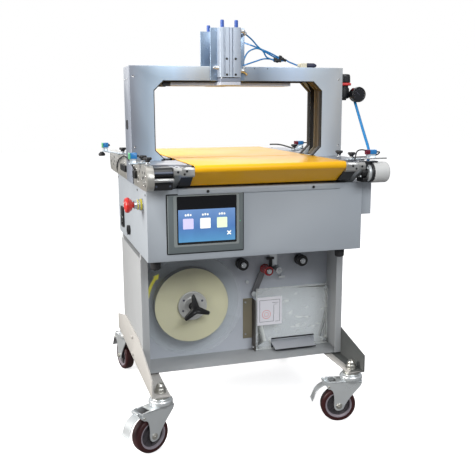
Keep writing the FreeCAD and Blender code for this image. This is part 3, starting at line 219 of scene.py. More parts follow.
finish("cabinet", (163, 169, 176), 0.42, relief=0.1, amount=0.03)
painted_reflection_finish("arch", ARCH_REFLECTION_BANDS, 0.34, 0.2)
finish("stand", (161, 163, 165), 0.45, relief=0.1, amount=0.03, seed=2)
finish("rail", (185, 182, 178), 0.45, relief=0.1, amount=0.03, seed=6)
# painted light: the compartment's back wall gets a lighter, bluish copy of the stand paint, standing for light
# reflected onto it
finish("wall", (196, 200, 208), 0.5, relief=0.08, amount=0.02, seed=4)
# painted shade: dark grey for the inner faces of the right foot rail, which really has the same paint as the rest of
# the rail
finish("inner_shade_paint", (75, 77, 76), 0.5, relief=0.1, amount=0.03)
finish("rubber", (24, 24, 26), 0.7, relief=0.3)
finish("bezel", (98, 106, 108), 0.42, relief=0.15, amount=0.04)
finish("bezel_lip", (132, 138, 138), 0.35, relief=0.1)
finish("bezel_dark", (18, 19, 22), 0.5)
finish("window", (10, 12, 18), 0.08, relief=0.01, coat=0.6)
finish("icon", (238, 238, 230), 0.4, relief=0.02)
finish("icon_violet", (196, 190, 226), 0.4, relief=0.02)
finish("icon_green", (216, 230, 196), 0.4, relief=0.02)
finish("red", (200, 34, 28), 0.32, relief=0.05, coat=0.3)
finish("yellow_ring", (214, 200, 60), 0.35, relief=0.05)
finish("steel", (196, 196, 196), 0.26, metal=1, relief=0.1, grain=500, stretch=(1, 6, 1))
finish("zinc", (216, 220, 222), 0.28, metal=0.7, relief=0.08, grain=300, amount=0.08)
finish("nickel", (202, 201, 194), 0.28, metal=1, relief=0.08)
finish("track", (126, 118, 104), 0.36, metal=0.7, relief=0.2, grain=300, stretch=ALONG_Z)
finish("lip", (15, 15, 15), 0.5, relief=0.1)
finish("lip_edge", (206, 200, 182), 0.35, metal=0.6)
finish("blue_alu", (146, 166, 190), 0.26, metal=0.5, relief=0.08, grain=260, stretch=(1, 1, 0.04))
finish("cyl", (190, 200, 214), 0.36, metal=0.55, relief=0.06, grain=300, stretch=ALONG_Z)
finish("groove", (96, 102, 116), 0.5, metal=0.5)
finish("bar", (198, 204, 218), 0.45, relief=0.05)
finish("block_dark", (134, 142, 158), 0.4, metal=0.2)
finish("black", (28, 28, 31), 0.38, relief=0.15, grain=600)
finish("cap_blue", (54, 90, 172), 0.35, relief=0.05)
finish("hose", (22, 120, 182), 0.28, relief=0.03, coat=0.3)
finish("cream", (222, 212, 186), 0.35, relief=0.05)
finish("navy", (34, 38, 62), 0.4, relief=0.1)
finish("silver", (206, 210, 214), 0.24, metal=0.75, relief=0.05, grain=200)
finish("gauge_black", (14, 14, 16), 0.18, relief=0.1, coat=0.5)
finish("ring_red", (226, 70, 70), 0.35, relief=0.05)
finish("belt", (246, 182, 12), 0.36, relief=0.1, grain=1500, amount=0.04)
finish("alu", (188, 188, 186), 0.32, metal=0.85, relief=0.12, grain=260, stretch=ALONG_Y, amount=0.08)
finish("deck", (158, 160, 166), 0.3, metal=0.75, relief=0.08, grain=240, stretch=ALONG_Y)
finish("cast", (184, 182, 176), 0.38, metal=0.7, relief=0.14, grain=200, amount=0.08)
finish("motor", (13, 13, 15), 0.4, relief=0.08, coat=0.08)
finish("white", (200, 200, 199), 0.4, relief=0.05, amount=0.03)
finish("sensor", (36, 120, 184), 0.3, relief=0.04)
finish("sensor_light", (86, 160, 214), 0.3, relief=0.03)
finish("lens_red", (110, 16, 40), 0.15, coat=0.6)
finish("lens_green", (110, 196, 140), 0.2, coat=0.6)
finish("bracket", (196, 206, 214), 0.34, metal=0.7, relief=0.05)
clear_sheet("clear", (214, 218, 220), 0.03)
# the cover sheet carries painted highlights in thin streak shapes
clear_sheet("cover", (236, 238, 236), 0.2, glint_amount=0.25)
finish("hub", (208, 208, 205), 0.3, metal=0.5, relief=0.15, grain=120)
finish("dancer", (150, 12, 24), 0.24, relief=0.03, coat=0.5)
finish("arm", (118, 118, 122), 0.4, metal=0.3, relief=0.08)
finish("guard", (158, 148, 126), 0.32, metal=0.5, relief=0.1, grain=260, stretch=ALONG_Z)
finish("guard_edge", (92, 88, 84), 0.4, metal=0.4)
finish("paper", (232, 230, 236), 0.6, relief=0.05, amount=0.02)
finish("ink", (70, 70, 84), 0.6)
finish("ink_red", (226, 120, 120), 0.6)
finish("arrow", (246, 236, 50), 0.45, amount=0.03)
finish("flap", (176, 178, 184), 0.4, metal=0.2)
finish("tyre", (52, 12, 14), 0.36, relief=0.1, coat=0.06, amount=0.12)
finish("rim", (142, 134, 142), 0.45, relief=0.15)
finish("rim_dark", (66, 62, 66), 0.5, relief=0.1)
wound_film("film", (215, 208, 173), mm(REEL_X, -90, REEL_Z))
finish("film_side", (98, 98, 94), 0.4, relief=0.2, grain=300, stretch=(1, 8, 1))
finish("knob", (15, 15, 17), 0.42, relief=0.05)
lit_screen("screen", 540, 625)
# painted light: the yellow arrow sticker glows a little, though it is no lamp
glow("arrow", (246, 236, 50), 0.3)
glow("icon", (226, 228, 222), 0.5)
glow("icon_violet", (196, 190, 226), 0.5)
glow("icon_green", (216, 230, 196), 0.5)
MAT["belt"].node_tree.nodes["Principled BSDF"].inputs["Specular IOR Level"].default_value = 0.3


# --- mesh helpers

class Draft:
    """The mesh being drawn, in drawing millimetres; piece() turns it into an object."""
    bm = bmesh.new()


def vertex(point):
    return Draft.bm.verts.new(point)


def face(verts):
    Draft.bm.faces.new(verts)


def bevel_mod(obj, width):
    mod = obj.modifiers.new("edge", "BEVEL")
    mod.width = width / 1000
    mod.segments = 2
    mod.limit_method = "ANGLE"
    mod.angle_limit = radians(38)
    mod.harden_normals = True


def piece(name, mat, slot, body=ROOT, bevel=0, replaces=None, sharp=34):
    """Ends the draft as a named piece that rides on a body and may stand for a CAD node."""
    bm, Draft.bm = Draft.bm, bmesh.new()
    bmesh.ops.recalc_face_normals(bm, faces=bm.faces)
    for vert in bm.verts:
        vert.co = (vert.co + SHIFT) / 1000
    mesh = bpy.data.meshes.new(name)
    bm.to_mesh(mesh)
    bm.free()
    for poly in mesh.polygons:
        poly.use_smooth = True
    obj = bpy.data.objects.new(name, mesh)
    bpy.context.scene.collection.objects.link(obj)
    obj.data.materials.append(MAT[mat])
    if bevel:
        bevel_mod(obj, bevel)
    else:
        mesh.set_sharp_from_angle(angle=radians(sharp))
    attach(obj, body)
    if replaces:
        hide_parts(replaces)
    return obj


def keep(node, mat, bevel):
    """Shows a CAD node as it is, with a finish and softened edges."""
    obj = NODES[node]
    obj.data.materials.clear()
    obj.data.materials.append(MAT[mat])
    weld = obj.modifiers.new("weld", "WELD")
    weld.merge_threshold = 0.00001
    bevel_mod(obj, bevel)
    for poly in obj.data.polygons:
        poly.use_smooth = True
    return obj


def dye(obj, mat, test):
    """Another finish for the faces whose centre, in drawing millimetres, passes the test."""
    obj.data.materials.append(MAT[mat])
    for poly in obj.data.polygons:
        if test(poly.center * 1000 - SHIFT):
            poly.material_index = len(obj.data.materials) - 1


def box(x, y, z):
    made = bmesh.ops.create_cube(Draft.bm, size=1)["verts"]
    for vert in made:
        vert.co = [low + (c + 0.5) * (high - low) for c, (low, high) in zip(vert.co, (x, y, z))]
    return made


def bridge(one, two):
    for k in range(len(one)):
        n = (k + 1) % len(one)
        face((one[k], one[n], two[n], two[k]))


def skin(rings):
    """Closed skin through rings with the same number of vertices."""
    for one, two in zip(rings, rings[1:]):
        bridge(one, two)
    face(rings[0])
    face(rings[-1][::-1])


def slab(axis, outline, low, high):
    """Closed (a, b) outline across an axis, swept along it from low to high."""
    place = {"x": lambda a, b, h: (h, a, b), "y": lambda a, b, h: (a, h, b), "z": lambda a, b, h: (a, b, h)}[axis]
    ends = [[vertex(place(a, b, h)) for a, b in outline] for h in (low, high)]
    skin(ends)
    return ends[0] + ends[1]


def rounded(a0, a1, b0, b1, r):
    """Rounded rectangle as (a, b) points, counter-clockwise."""
    out = []
    for a, b, start in ((a1 - r, b1 - r, 0), (a0 + r, b1 - r, 90), (a0 + r, b0 + r, 180), (a1 - r, b0 + r, 270)):
        for k in range(6):
            turn = radians(start + 18 * k)
            out.append((a + r * cos(turn), b + r * sin(turn)))
    return out


def ring(outer, inner, low, high):
    """Frame between two outlines with the same number of points, facing -Y."""
    loops = [[vertex((a, y, b)) for a, b in loop] for loop, y in ((outer, high), (outer, low), (inner, low), (inner,
        high))]
    for one, two in zip(loops, loops[1:] + loops[:1]):
        bridge(one, two)


def soften(profile, radius, steps=4):
    """Rounds the inner corners of an open (r, h) profile."""
    out = [Vector(profile[0])]
    for prev, here, after in zip(profile, profile[1:], profile[2:]):
        prev, here, after = Vector(prev), Vector(here), Vector(after)
        cut = min(radius, (prev - here).length * 0.45, (after - here).length * 0.45)
        start = here + (prev - here).normalized() * cut
        end = here + (after - here).normalized() * cut
        for step in range(steps + 1):
            t = step / steps
            out.append(start * (1 - t) ** 2 + here * 2 * t * (1 - t) + end * t ** 2)
    return out + [Vector(profile[-1])]


def lathe(origin, axis, profile, radius=0, turns=48, wave=None):
    """Profile of (r, h) points turned about an axis; wave(angle, h) scales the radius."""
    axis, origin = Vector(axis).normalized(), Vector(origin)
    u = axis.cross(Vector(UP))
    u = u.normalized() if u.length > 1e-6 else Vector(RIGHT)
    v = axis.cross(u)
    rings = []
    for r, h in soften(profile, radius) if radius else profile:
        points = []
        for k in range(turns if r > 1e-6 else 1):
            a = 2 * pi * k / turns
            s = r * (wave(a, h) if wave else 1)
            points.append(origin + axis * h + u * cos(a) * s + v * sin(a) * s)
        rings.append([vertex(p) for p in points])
    for one, two in zip(rings, rings[1:]):
        for k in range(turns):
            n = (k + 1) % turns
            corners = (one[k % len(one)], one[n % len(one)], two[n % len(two)], two[k % len(two)])
            corners = list(dict.fromkeys(corners))
            if len(corners) > 2:
                face(corners)
    return [vert for ring_verts in rings for vert in ring_verts]


def ridges(count, depth, low, high=1000):
    """Wave for lathe(): flutes or flats between two heights."""
    return lambda a, h: 1 + depth * cos(count * a) if low < h < high else 1


def rod(r, length):
    return [(0, 0), (r, 0), (r, length), (0, length)]


def screw(at, axis, r, height):
    """Socket-head screw: domed rim with a hollow middle."""
    lathe(at, axis, [(0, 0.2), (r * 0.45, 0.2), (r * 0.5, height * 0.9), (r * 0.85, height), (r, height * 0.6),
        (r, 0)], 0, 20)


def spline(a, b, c, d, t):
    """Catmull-Rom point between b and c."""
    return 0.5 * ((2 * b) + (c - a) * t + (2 * a - 5 * b + 4 * c - d) * t * t
                  + (3 * b - a - 3 * c + d) * t ** 3)


def smooth_loop(points, steps=5):
    """Closed curve through (a, b) points; a doubled point stays a corner."""
    pts = [Vector(p) for p in points]
    out = []
    for i, b in enumerate(pts):
        c, d = pts[(i + 1) % len(pts)], pts[(i + 2) % len(pts)]
        if (c - b).length > 1e-6:
            out += [tuple(spline(pts[i - 1], b, c, d, s / steps)) for s in range(steps)]
    return out


def tube(points, radius, turns=12, steps=6):
    """Round tube along a smooth curve through the points."""
    pts = [Vector(p) for p in points]
    pts = [pts[0] * 2 - pts[1]] + pts + [pts[-1] * 2 - pts[-2]]
    path = [spline(*pts[i - 1:i + 3], s / steps) for i in range(1, len(pts) - 2)
            for s in range(steps)] + [pts[-2]]
    u = None
    rings = []
    for i, p in enumerate(path):
        forward = (path[min(i + 1, len(path) - 1)] - path[max(i - 1, 0)]).normalized()
        u = forward.orthogonal().normalized() if u is None else u
        u = (u - forward * u.dot(forward)).normalized()
        v = forward.cross(u)
        angles = [2 * pi * k / turns for k in range(turns)]
        rings.append([vertex(p + (u * cos(a) + v * sin(a)) * radius) for a in angles])
    skin(rings)


def turned(verts, angle, centre, axis):
    matrix = Matrix.Rotation(radians(angle), 3, axis)
    bmesh.ops.rotate(Draft.bm, verts=verts, cent=centre, matrix=matrix)


def mirror_y(verts):
    for vert in verts:
        vert.co.y *= -1


# --- cabinet

def cabinet():
    keep("cabinet_shell", "cabinet", 1.2)
    keep("cover_plates", "cabinet", 0.6)
    for x in (-274, 247):
        for y in (-228, 228):
            lathe((x, y, 468), UP, [(0, 0), (11, 0), (13, 3), (13.5, 24), (0, 24)], 1.5, 32)
    piece("cabinet_feet", "rubber", "rubber_black", replaces="rubber_feet")
    for y in (-242, 240, -120):
        screw((-298, y, 664), LEFT, 3, 1.2)
    for x in (-140, 151.5):
        screw((x, -260, 670), FRONT, 3.8, 1.4)
    piece("cabinet_screws", "black", "inlet_black")
    ring(rounded(298.6, 322, -240, -70, 6), rounded(302, 318.6, -236, -74, 4), 0, 1)
    for vert in Draft.bm.verts:
        vert.co = Vector((vert.co.x, vert.co.z, 676 + vert.co.y * 0.8))
    piece("side_cover_lid", "cabinet", "cabinet_paint")


def operator_panel():
    keep("hmi_bezel", "bezel", 0.7)
    # dark ring round the panel: partly the black side of the panel's housing, partly painted shadow below the bezel
    ring(rounded(-249, -43, 509.5, 665.5, 3.5), rounded(-245.4, -46.6, 513.1, 661.9, 3), -255.9, -254.9)
    piece("panel_gasket_and_shadow", "bezel_dark", "bezel_grey", bevel=0.3)
    ring(rounded(-230.5, -57.5, 529.5, 661, 3.5), rounded(-222.2, -64.3, 534.8, 659.2, 2.5), -261.9, -260.6)
    piece("panel_lip", "bezel_lip", "bezel_grey", bevel=0.5)
    slab("y", rounded(-222, -64.5, 535, 659, 2), -261.2, -259)
    piece("panel_window", "window", "screen_glass", bevel=0.2, replaces="hmi_screen")
    slab("y", rounded(-219, -68.5, 541, 625, 1), -261.35, -261.1)
    piece("panel_display", "screen", "screen_glass")
    for index, (x, mat) in enumerate(((-207, "icon_violet"), (-162, "icon"), (-117.5, "icon_green"))):
        slab("y", rounded(x, x + 27.5, 575, 602, 2), -261.55, -261.3)
        piece("panel_icon_%d" % index, mat, "screen_glass")
        for k in range(3):
            left = x + 5 + k * 6.4
            slab("y", rounded(left, left + 4.6, 608.5, 613.5 + k % 2, 1.6), -261.5, -261.3)
        piece("panel_mark_%d" % index, "icon", "screen_glass")
    for turn in (45, -45):
        made = slab("y", rounded(-92, -78, 559, 562.2, 1.2), -261.5, -261.3)
        turned(made, turn, (-85, -261.4, 560.6), "Y")
    piece("panel_tool_mark", "icon", "screen_glass")
    lathe((-55, -261, 590), FRONT, [(0, 0.5), (1.3, 0.5), (1.6, 0)], 0, 16)
    piece("panel_led", "lens_green", "screen_glass")


def side_controls():
    stop = (-298, -200, 635)
    lathe(stop, LEFT, [(0, 0), (16, 0), (16, 2.5), (13, 3), (13, 7.5), (14, 8), (14, 10.5), (12, 11), (12, 16),
        (10.8, 17), (10.8, 22.9), (8.3, 22.9), (8.3, 18), (0, 18)], 0.5, 40)
    piece("stop_collar", "silver", "fitting_silver", replaces="estop_base")
    for r0, r1, h0, h1 in ((13.1, 14.9, 3.4, 7.2), (12.1, 13.4, 12.4, 15)):
        lathe(stop, LEFT, [(r0, h0), (r1, h0), (r1, h1), (r0, h1)], 0.3, 40)
    piece("stop_collar_ring", "yellow_ring", "collar_yellow")
    lathe((-326, -200, 635), LEFT, [(0, -5), (8, -5), (8, 0), (12.5, 0), (14, 2.5), (19.2, 8), (20, 12), (19.2, 16),
        (15.5, 18.6), (9, 19), (8, 18), (0, 18)], 1.2, 48)
    piece("stop_head", "red", "stop_red", body="estop_button", replaces="estop_button")
    # painted light: the marks on the stop head take the glowing icon finish, though they are no lamp
    for k in range(3):
        mark = [(-188.8, 633.8), (-185.6, 633.8), (-185.6, 636.2), (-188.8, 636.2)]
        turned(slab("x", mark, -345.1, -344.2), 120 * k + degrees(0.3), stop, "X")
    piece("stop_head_marks", "icon", "stop_red", body="estop_button")
    keep("side_inlet", "black", 0.8)
    keep("rocker_switch", "black", 0.6)
    for y in (146.5, 183.5):
        screw((-303, y, 549), LEFT, 2.6, 1)
    piece("inlet_screws", "steel", "zinc_plate")
    for y, z in ((159, 534), (165, 538), (171, 534)):
        box((-302, -299.2), (y - 1, y + 1), (z - 3, z + 3))
    piece("inlet_pins", "nickel", "zinc_plate", bevel=0.3)


# --- stand and castors

CASTORS = {"fl": (-276, -262, 24), "fr": (276, -262, -14), "rl": (-276, 304, -77),
           "rr": (276, 304, 80)}  # x, y, turn of the fork
AXLE_X, AXLE_Z = -36, 40


def stand():
    keep("leg_panels", "stand", 0.7)
    # painted light: the tray's wall faces take the lighter, bluish copy of the stand paint
    dye(keep("shelf_tray", "stand", 0.7), "wall", lambda c: c.y > -37 and c.z > 152.5 or c.y < -37 and c.z > 200)
    # painted shade: the right rail's inner faces, between x 274 and 303, are darkened
    dye(keep("foot_rails", "rail", 0.9), "inner_shade_paint", lambda c: 274 < c.x < 303)
    for x, y in ((-276, -262), (-276, 304), (276, -262), (276, 304)):
        lathe((x, y, 145), UP, [(0, 0), (15, 0), (15, 2.4), (13.6, 2.6), (13.6, 11), (12, 12.2), (11.4, 14.2),
            (10.9, 19.2), (8, 24), (3.8, 26), (0, 26.4)], 0.8, 36, ridges(6, 0.045, 2.5, 12.3))
        lathe((x, y, 133), UP, [(0, 0), (23, 0), (24, 1.6), (24, 4.6), (21, 7), (12, 7.9), (0, 7.9)], 1.2)
        lathe((x, y, 99), UP, [(0, 9.9), (9, 9.9), (10, 9), (10, 6.4), (6, 5.2), (0, 5)], 0.8, 24)
    piece("castor_studs", "nickel", "zinc_plate", replaces="castor_stems")


def pedal_sheet(path):
    """Bent strip of the brake pedal, a little wider towards its tip."""
    rows = []
    for i, (x, z) in enumerate(path):
        ahead = Vector(path[min(i + 1, len(path) - 1)]) - Vector(path[max(i - 1, 0)])
        normal = Vector((-ahead.y, ahead.x)).normalized() * -1.25
        half = 15 if i < 6 else 15 + (i - 5) * 0.5
        rows.append([vertex((x + s * normal.x, w, z + s * normal.y)) for s, w in ((-1, -half), (-1, half), (1, half),
            (1, -half))])
    skin(rows)


def castor(corner):
    x, y, turn = CASTORS[corner]
    fork, wheel, pedal = ("%s_%s" % (kind, corner) for kind in ("fork", "wheel", "pedal"))

    def finished(name, *rest, **options):
        """Turns the draft with the fork, puts it at its corner and ends it as a piece."""
        turned(Draft.bm.verts, turn, (0, 0, 0), "Z")
        bmesh.ops.translate(Draft.bm, verts=Draft.bm.verts, vec=(x, y, 0))
        return piece("castor_%s_%s" % (name, corner), *rest, **options)

    lathe((0, 0, 109), UP, [(6.1, 0), (26, 0), (28.5, 4.5), (30, 6), (32, 9), (32, 16.5), (29.5, 20), (26, 21.4),
        (24.6, 23.9), (6.1, 23.9)], 1.2, 56)
    cheek = smooth_loop([(27, 112.9), (27, 112.9), (26.5, 104), (18, 92), (-4, 66), (-18, 44), (-24, 31), (-36, 26),
        (-46, 29), (-50, 40), (-50, 58), (-52, 76), (-58, 88), (-68, 91.5), (-68, 91.5), (-72, 100), (-71, 112.9),
        (-71, 112.9)])
    mirror_y(slab("y", cheek, 19, 22))
    slab("y", cheek, 19, 22)
    top = smooth_loop([(28, -22), (28, -22), (32, 0), (28, 22), (28, 22), (-10, 22), (-59, 22), (-59, 22), (-59, 16),
        (-59, 16), (-44, 16), (-44, -16), (-44, -16), (-59, -16), (-59, -16), (-59, -22), (-59, -22), (-10, -22)])
    slab("z", top, 108.8, 113)
    finished("fork", "zinc", "zinc_plate", body=fork, bevel=1.1, replaces=fork)
    for side in SIDES:
        lathe((AXLE_X, side * 22, AXLE_Z), (0, side, 0), [(0, 4.6), (2, 4.6), (2.6, 3.4), (4.6, 3.4), (6.6, 2.9),
            (7, 1), (9, 0.8), (9, 0)], 0.4, 30, ridges(6, 0.05, 1.2))
        lathe((-66, side * 22, 98), (0, side, 0), [(0, 1.6), (2.4, 1.5), (3.4, 0.6), (3.4, 0)], 0.4, 20)
    finished("axle", "nickel", "zinc_plate", body=fork)
    lathe((AXLE_X, 0, AXLE_Z), REAR, [(38, -15), (43, -15), (47.4, -13.6), (49.3, -10.5), (50, -5), (50, 5),
        (49.3, 10.5), (47.4, 13.6), (43, 15), (38, 15)], 1, 72)
    finished("tread", "tyre", "tyre_maroon", body=wheel, replaces="tyre_" + corner)
    for side in SIDES:
        lathe((AXLE_X, 0, AXLE_Z), REAR, [(r, side * h) for r, h in ((37.95, 14.4), (34, 14.4), (32.6, 10), (30, 6),
            (16, 5), (13.5, 7), (12.5, 17.5), (8, 18), (4.1, 18))], 0.8, 60)
    for side in SIDES:
        for k in range(8):
            made = box((-20.5, -5), (4.6, 8.6), (39.1, 40.9))
            if side < 0:
                mirror_y(made)
            turned(made, 45 * k, (AXLE_X, 0, AXLE_Z), "Y")
    rim = finished("hub", "rim", "rim_grey", body=wheel, replaces="rim_" + corner)

    def inner(c):
        c = Matrix.Rotation(radians(-turn), 3, "Z") @ (c - Vector((x, y, 0)))
        return hypot(c.x - AXLE_X, c.z - AXLE_Z) < 31.5
    dye(rim, "rim_dark", inner)
    pedal_sheet([(-59, 100.4), (-66, 103.6), (-75, 102.4), (-84, 98.4), (-94, 91.5), (-101.5, 82), (-105.5, 72),
        (-108, 64), (-111, 57), (-113, 54)])
    lathe((-66, -18.4, 98), REAR, [(3.1, 0), (6, 0), (6, 36.8), (3.1, 36.8)], 0.5, 24)
    tab = smooth_loop([(-66, 99), (-66, 99), (-69, 105), (-77, 113), (-81.5, 114), (-83, 110), (-79, 103), (-72, 97),
        (-72, 97)])
    slab("y", tab, -15, -12.5)
    slab("y", tab, 12.5, 15)
    box((-83.2, -77.4), (-15, 15), (109, 112))
    finished("pedal", "zinc", "zinc_plate", body=pedal, bevel=0.6, replaces=pedal)


# --- arch and press head

ROD_SPOTS = [(x, y) for y in (-127, 13) for x in (-61, -22)]
TRACK_X, TRACK_HALF, TRACK_Y = -3, 257.5, -57  # middle, half width and middle plane of the opening


def arch():
    def in_groove(c):
        reach = abs(c.x - TRACK_X)
        return -91.5 < c.y < -22.5 and reach < TRACK_HALF and (
            reach > 239 and c.z < 966 or 947 < c.z < 965)
    dye(keep("arch_frame", "arch", 1.4), "lip", in_groove)
    dye(keep("film_track", "lip", 0.4), "track", lambda c: -81 < c.y < -33)
    half_loop = [(237.5, 742), (255.8, 760.5), (255.8, 929.5), (221.6, 963.8)]
    for y, wide, thick in ((-82, 4.6, 0.9), (TRACK_Y, 1, 0.5), (-32, 4.6, 0.9)):
        for sign in SIDES:
            loop = [Vector((TRACK_X + sign * x, y, z)) for x, z in half_loop]
            for start, end in zip(loop, loop[1:]):
                along = (end - start).normalized()
                side = Vector((along.z, 0, -along.x)) * wide * -sign
                half = Vector((0, thick, 0))
                ends = [[vertex(p + c) for c in (-half, half, half + side, side - half)] for p in (start, end)]
                skin(ends)
    piece("track_rims", "lip_edge", "track_dark")
    slab("x", rounded(-61, -24, 821, 846, 6), -308.4, -307.9)
    piece("arch_side_slot", "bezel_dark", "arch_paint", bevel=0.15)
    for x, z in ((-303, 960), (295, 956), (297, 770), (-303, 776)):
        screw((x * 0.985, -108, z), FRONT, 2.8, 1.3)
    for y in (-60, -23):
        screw((-308, y, 954), LEFT, 2.6, 0.8)
        screw((302, y, 954), RIGHT, 2.6, 1)
    piece("arch_screws", "steel", "zinc_plate")
    for x in (36, 74):
        lathe((x, -108, 983), FRONT, [(0, 0.3), (1.2, 0.3), (1.4, 0)], 0, 12)
    piece("arch_dots", "bezel_dark", "arch_paint")


def grooved_body(x, face, back, z, grooves):
    """Extruded cylinder body with grooves, (x, width, depth), in the face at y = face."""
    inward = 1 if back > face else -1
    r = 3
    r_in = inward * r
    outline = [(x[0], back - r_in), (x[0] + r, back), (x[1] - r, back), (x[1], back - r_in), (x[1], face + r_in),
        (x[1] - r * 0.3, face + r_in * 0.3), (x[1] - r, face)]
    for at, wide, deep in grooves:
        right, left = at + wide / 2, at - wide / 2
        outline += [(right, face), (right, face + inward * deep), (left, face + inward * deep), (left, face)]
    outline += [(x[0] + r, face), (x[0] + r * 0.3, face + r_in * 0.3), (x[0], face + r_in)]
    slab("z", outline, *z)


def press_head():
    keep("press_brackets", "blue_alu", 1.2)
    slots = ((-36.5, 3, 5), (-45.5, 1.6, 3), (-57, 1, 1.6), (-60.5, 2, 3))
    grooved_body((-72, -13), -142, -112, (958, 1087), slots)
    grooved_body((-72, -13), 28, -2, (958, 1087), slots)
    piece("cylinder_bodies", "cyl", "cylinder_alu", bevel=0.7, replaces="air_cylinders")
    for x, z in ((-53, 1006), (-28.5, 1006), (-53, 965), (-28.5, 965)):
        screw((x, -142, z), FRONT, 3.2, 0.9)
        screw((x, 28, z), REAR, 3.2, 0.9)
    for x, y in ROD_SPOTS:
        lathe((x, y, 1087), UP, [(4.6, 0), (7, 0), (7, 0.9), (4.6, 0.9)], 0.2, 24)
    piece("cylinder_screws", "black", "inlet_black")
    slab("z", rounded(-215, 150, -90, -24, 3), 937, 946)
    piece("press_bar_plate", "bar", "bar_grey", body="press_bar", bevel=0.8, replaces="press_bar")
    slab("z", rounded(-71, -14, -141, 27, 2), 937.4, 945.8)
    piece("press_yoke", "bar", "bar_grey", body="press_bar", bevel=0.8)
    for y0, y1 in ((-141, -113), (-1, 27)):
        slab("z", rounded(-71, -14, y0, y1, 2), 945.8, 955.8)
    piece("press_end_blocks", "block_dark", "bar_grey", body="press_bar", bevel=0.9)
    for x, y in ROD_SPOTS:
        lathe((x, y, 955), UP, rod(4.5, 133), 0.4, 28)
    piece("press_rods", "steel", "roller_steel", body="press_bar")
    for x, y in ROD_SPOTS:
        lathe((x, y, 1087.6), UP, [(4.4, 0), (5, 0.2), (5, 17.4), (4, 19.2), (0, 19.4)], 0.6, 28)
    piece("press_rod_caps", "cap_blue", "sensor_blue", body="press_bar")
    for y in (-91.6, -30):
        slab("y", rounded(-216.6, -196, 935.4, 947.6, 2), y, y + 7.6)
    slab("z", rounded(-216.6, -203, -91.6, -22.4, 2), 946, 947.6)
    piece("press_bar_clamp", "black", "inlet_black", body="press_bar", bevel=0.4)


def elbow(at, collar):
    """Swivel elbow towards +X: screwed hexagon, round body and a collar for the tube."""
    at, collar = Vector(at), Vector(collar).normalized()
    lathe(at, RIGHT, [(0, 0), (6.8, 0), (6.8, 4), (5, 4.6), (5, 12), (3.6, 14.6), (0, 15)], 0.5, 24,
        ridges(6, 0.06, -1, 4.3))
    lathe(at + Vector((9, 0, 0)), collar, [(0, 0), (4.8, 0), (4.8, 8), (5.6, 8.6), (5.6, 12), (2.5, 12.4), (2.5, 11),
        (0, 11)], 0.5, 24)


def air_line():
    elbow((-13, -127, 1079), (0.75, 0.35, -0.55))
    elbow((-13, -127, 976), (0.35, 0.5, 0.75))
    elbow((-13, 13, 1079), (0.8, -0.4, -0.45))
    elbow((-13, 13, 976), (0.4, -0.4, 0.8))
    for y in (-127, 13):
        lathe((-72, y, 984), LEFT, [(0, 0), (6.6, 0), (6.6, 3), (5.4, 3.4), (5.4, 9), (3.4, 12), (3.4, 15), (0, 15)],
            0.5, 24)
    lathe((14, -110, 968), (-0.7, -0.3, 0.5), [(0, 0), (4.5, 0), (4.5, 9), (5.2, 9.6), (5.2, 18), (0, 18)], 0.4, 20)
    piece("air_elbows", "silver", "fitting_silver", replaces="air_fittings")
    slab("z", rounded(186, 204, -78, -62, 2), 988.2, 1001.2)
    lathe((186, -70, 995.5), LEFT, [(0, 0), (5, 0), (5, 5), (3.6, 6), (3.6, 9), (0, 9)], 0.4, 24)
    piece("air_valve", "cream", "fitting_silver", bevel=0.8)
    lathe((204, -70, 995.2), RIGHT, [(0, 0), (5, 0), (5, 2), (7, 2.4), (7, 24), (3.2, 31.6), (0, 32)], 0.5, 36,
        ridges(12, 0.03, 3, 23.5))
    piece("air_silencer", "navy", "regulator_black")
    for path in (((4, -118, 1074), (18, -104, 1069), (33.5, -95, 1060), (50, -92, 1044), (66, -92, 1031),
            (77, -90, 1016), (92, -88, 1010), (100, -88, 1007.5)), ((5, 3, 1072), (14, -40, 1061), (38.5, -76, 1047),
            (60, -80, 1039), (90, -80, 1028), (112, -80, 1018), (119, -80, 1015.5)), ((2, -120, 986), (6, -103, 999),
            (12, -97, 1014), (23, -95, 1029), (41, -94, 1037), (55, -92, 1037), (77, -88, 1028), (99, -83, 1018),
            (112, -80, 1014), (119, -80, 1013.5)), ((4, 4, 988), (12, -50, 991), (26, -80, 997), (46, -80, 1003.5),
            (71, -84, 1011), (94, -88, 1010), (100, -88, 1006.5)), ((113, -88, 1006), (122, -84, 1006),
            (132, -78, 1007)), ((140, -78, 1009), (150, -76, 1004), (163, -73, 1000), (172, -71, 997),
            (180, -70, 995.8))):
        tube(path, 2.1)
    piece("air_tubes", "hose", "sensor_blue")
    for at, axis in (((99, -88, 1007), (1, 0, -0.06)), ((118, -80, 1014.5), (0.95, 0.05, -0.32))):
        lathe(at, axis, [(0, 0), (3.6, 0), (4.4, 1), (4.4, 6.5), (5.6, 7.5), (5.6, 13), (4, 14), (4, 22), (0, 22)],
            0.5, 24)
        lathe(Vector(at) + Vector((0, 0, 4.2)), axis, [(0, 0), (3.4, 0), (4, 1), (4, 8), (0, 9)], 0.5, 20)
    piece("air_branches", "black", "regulator_black")
    tube([(346, -76, 914), (350, -86, 902), (351, -92, 892), (349, -118, 861), (346.5, -146, 828), (344, -174, 796),
        (342, -200, 765), (339, -212, 744), (333, -206, 722), (322, -176, 700), (314, -140, 677)], 4, 16, 8)
    piece("supply_hose", "hose", "sensor_blue")


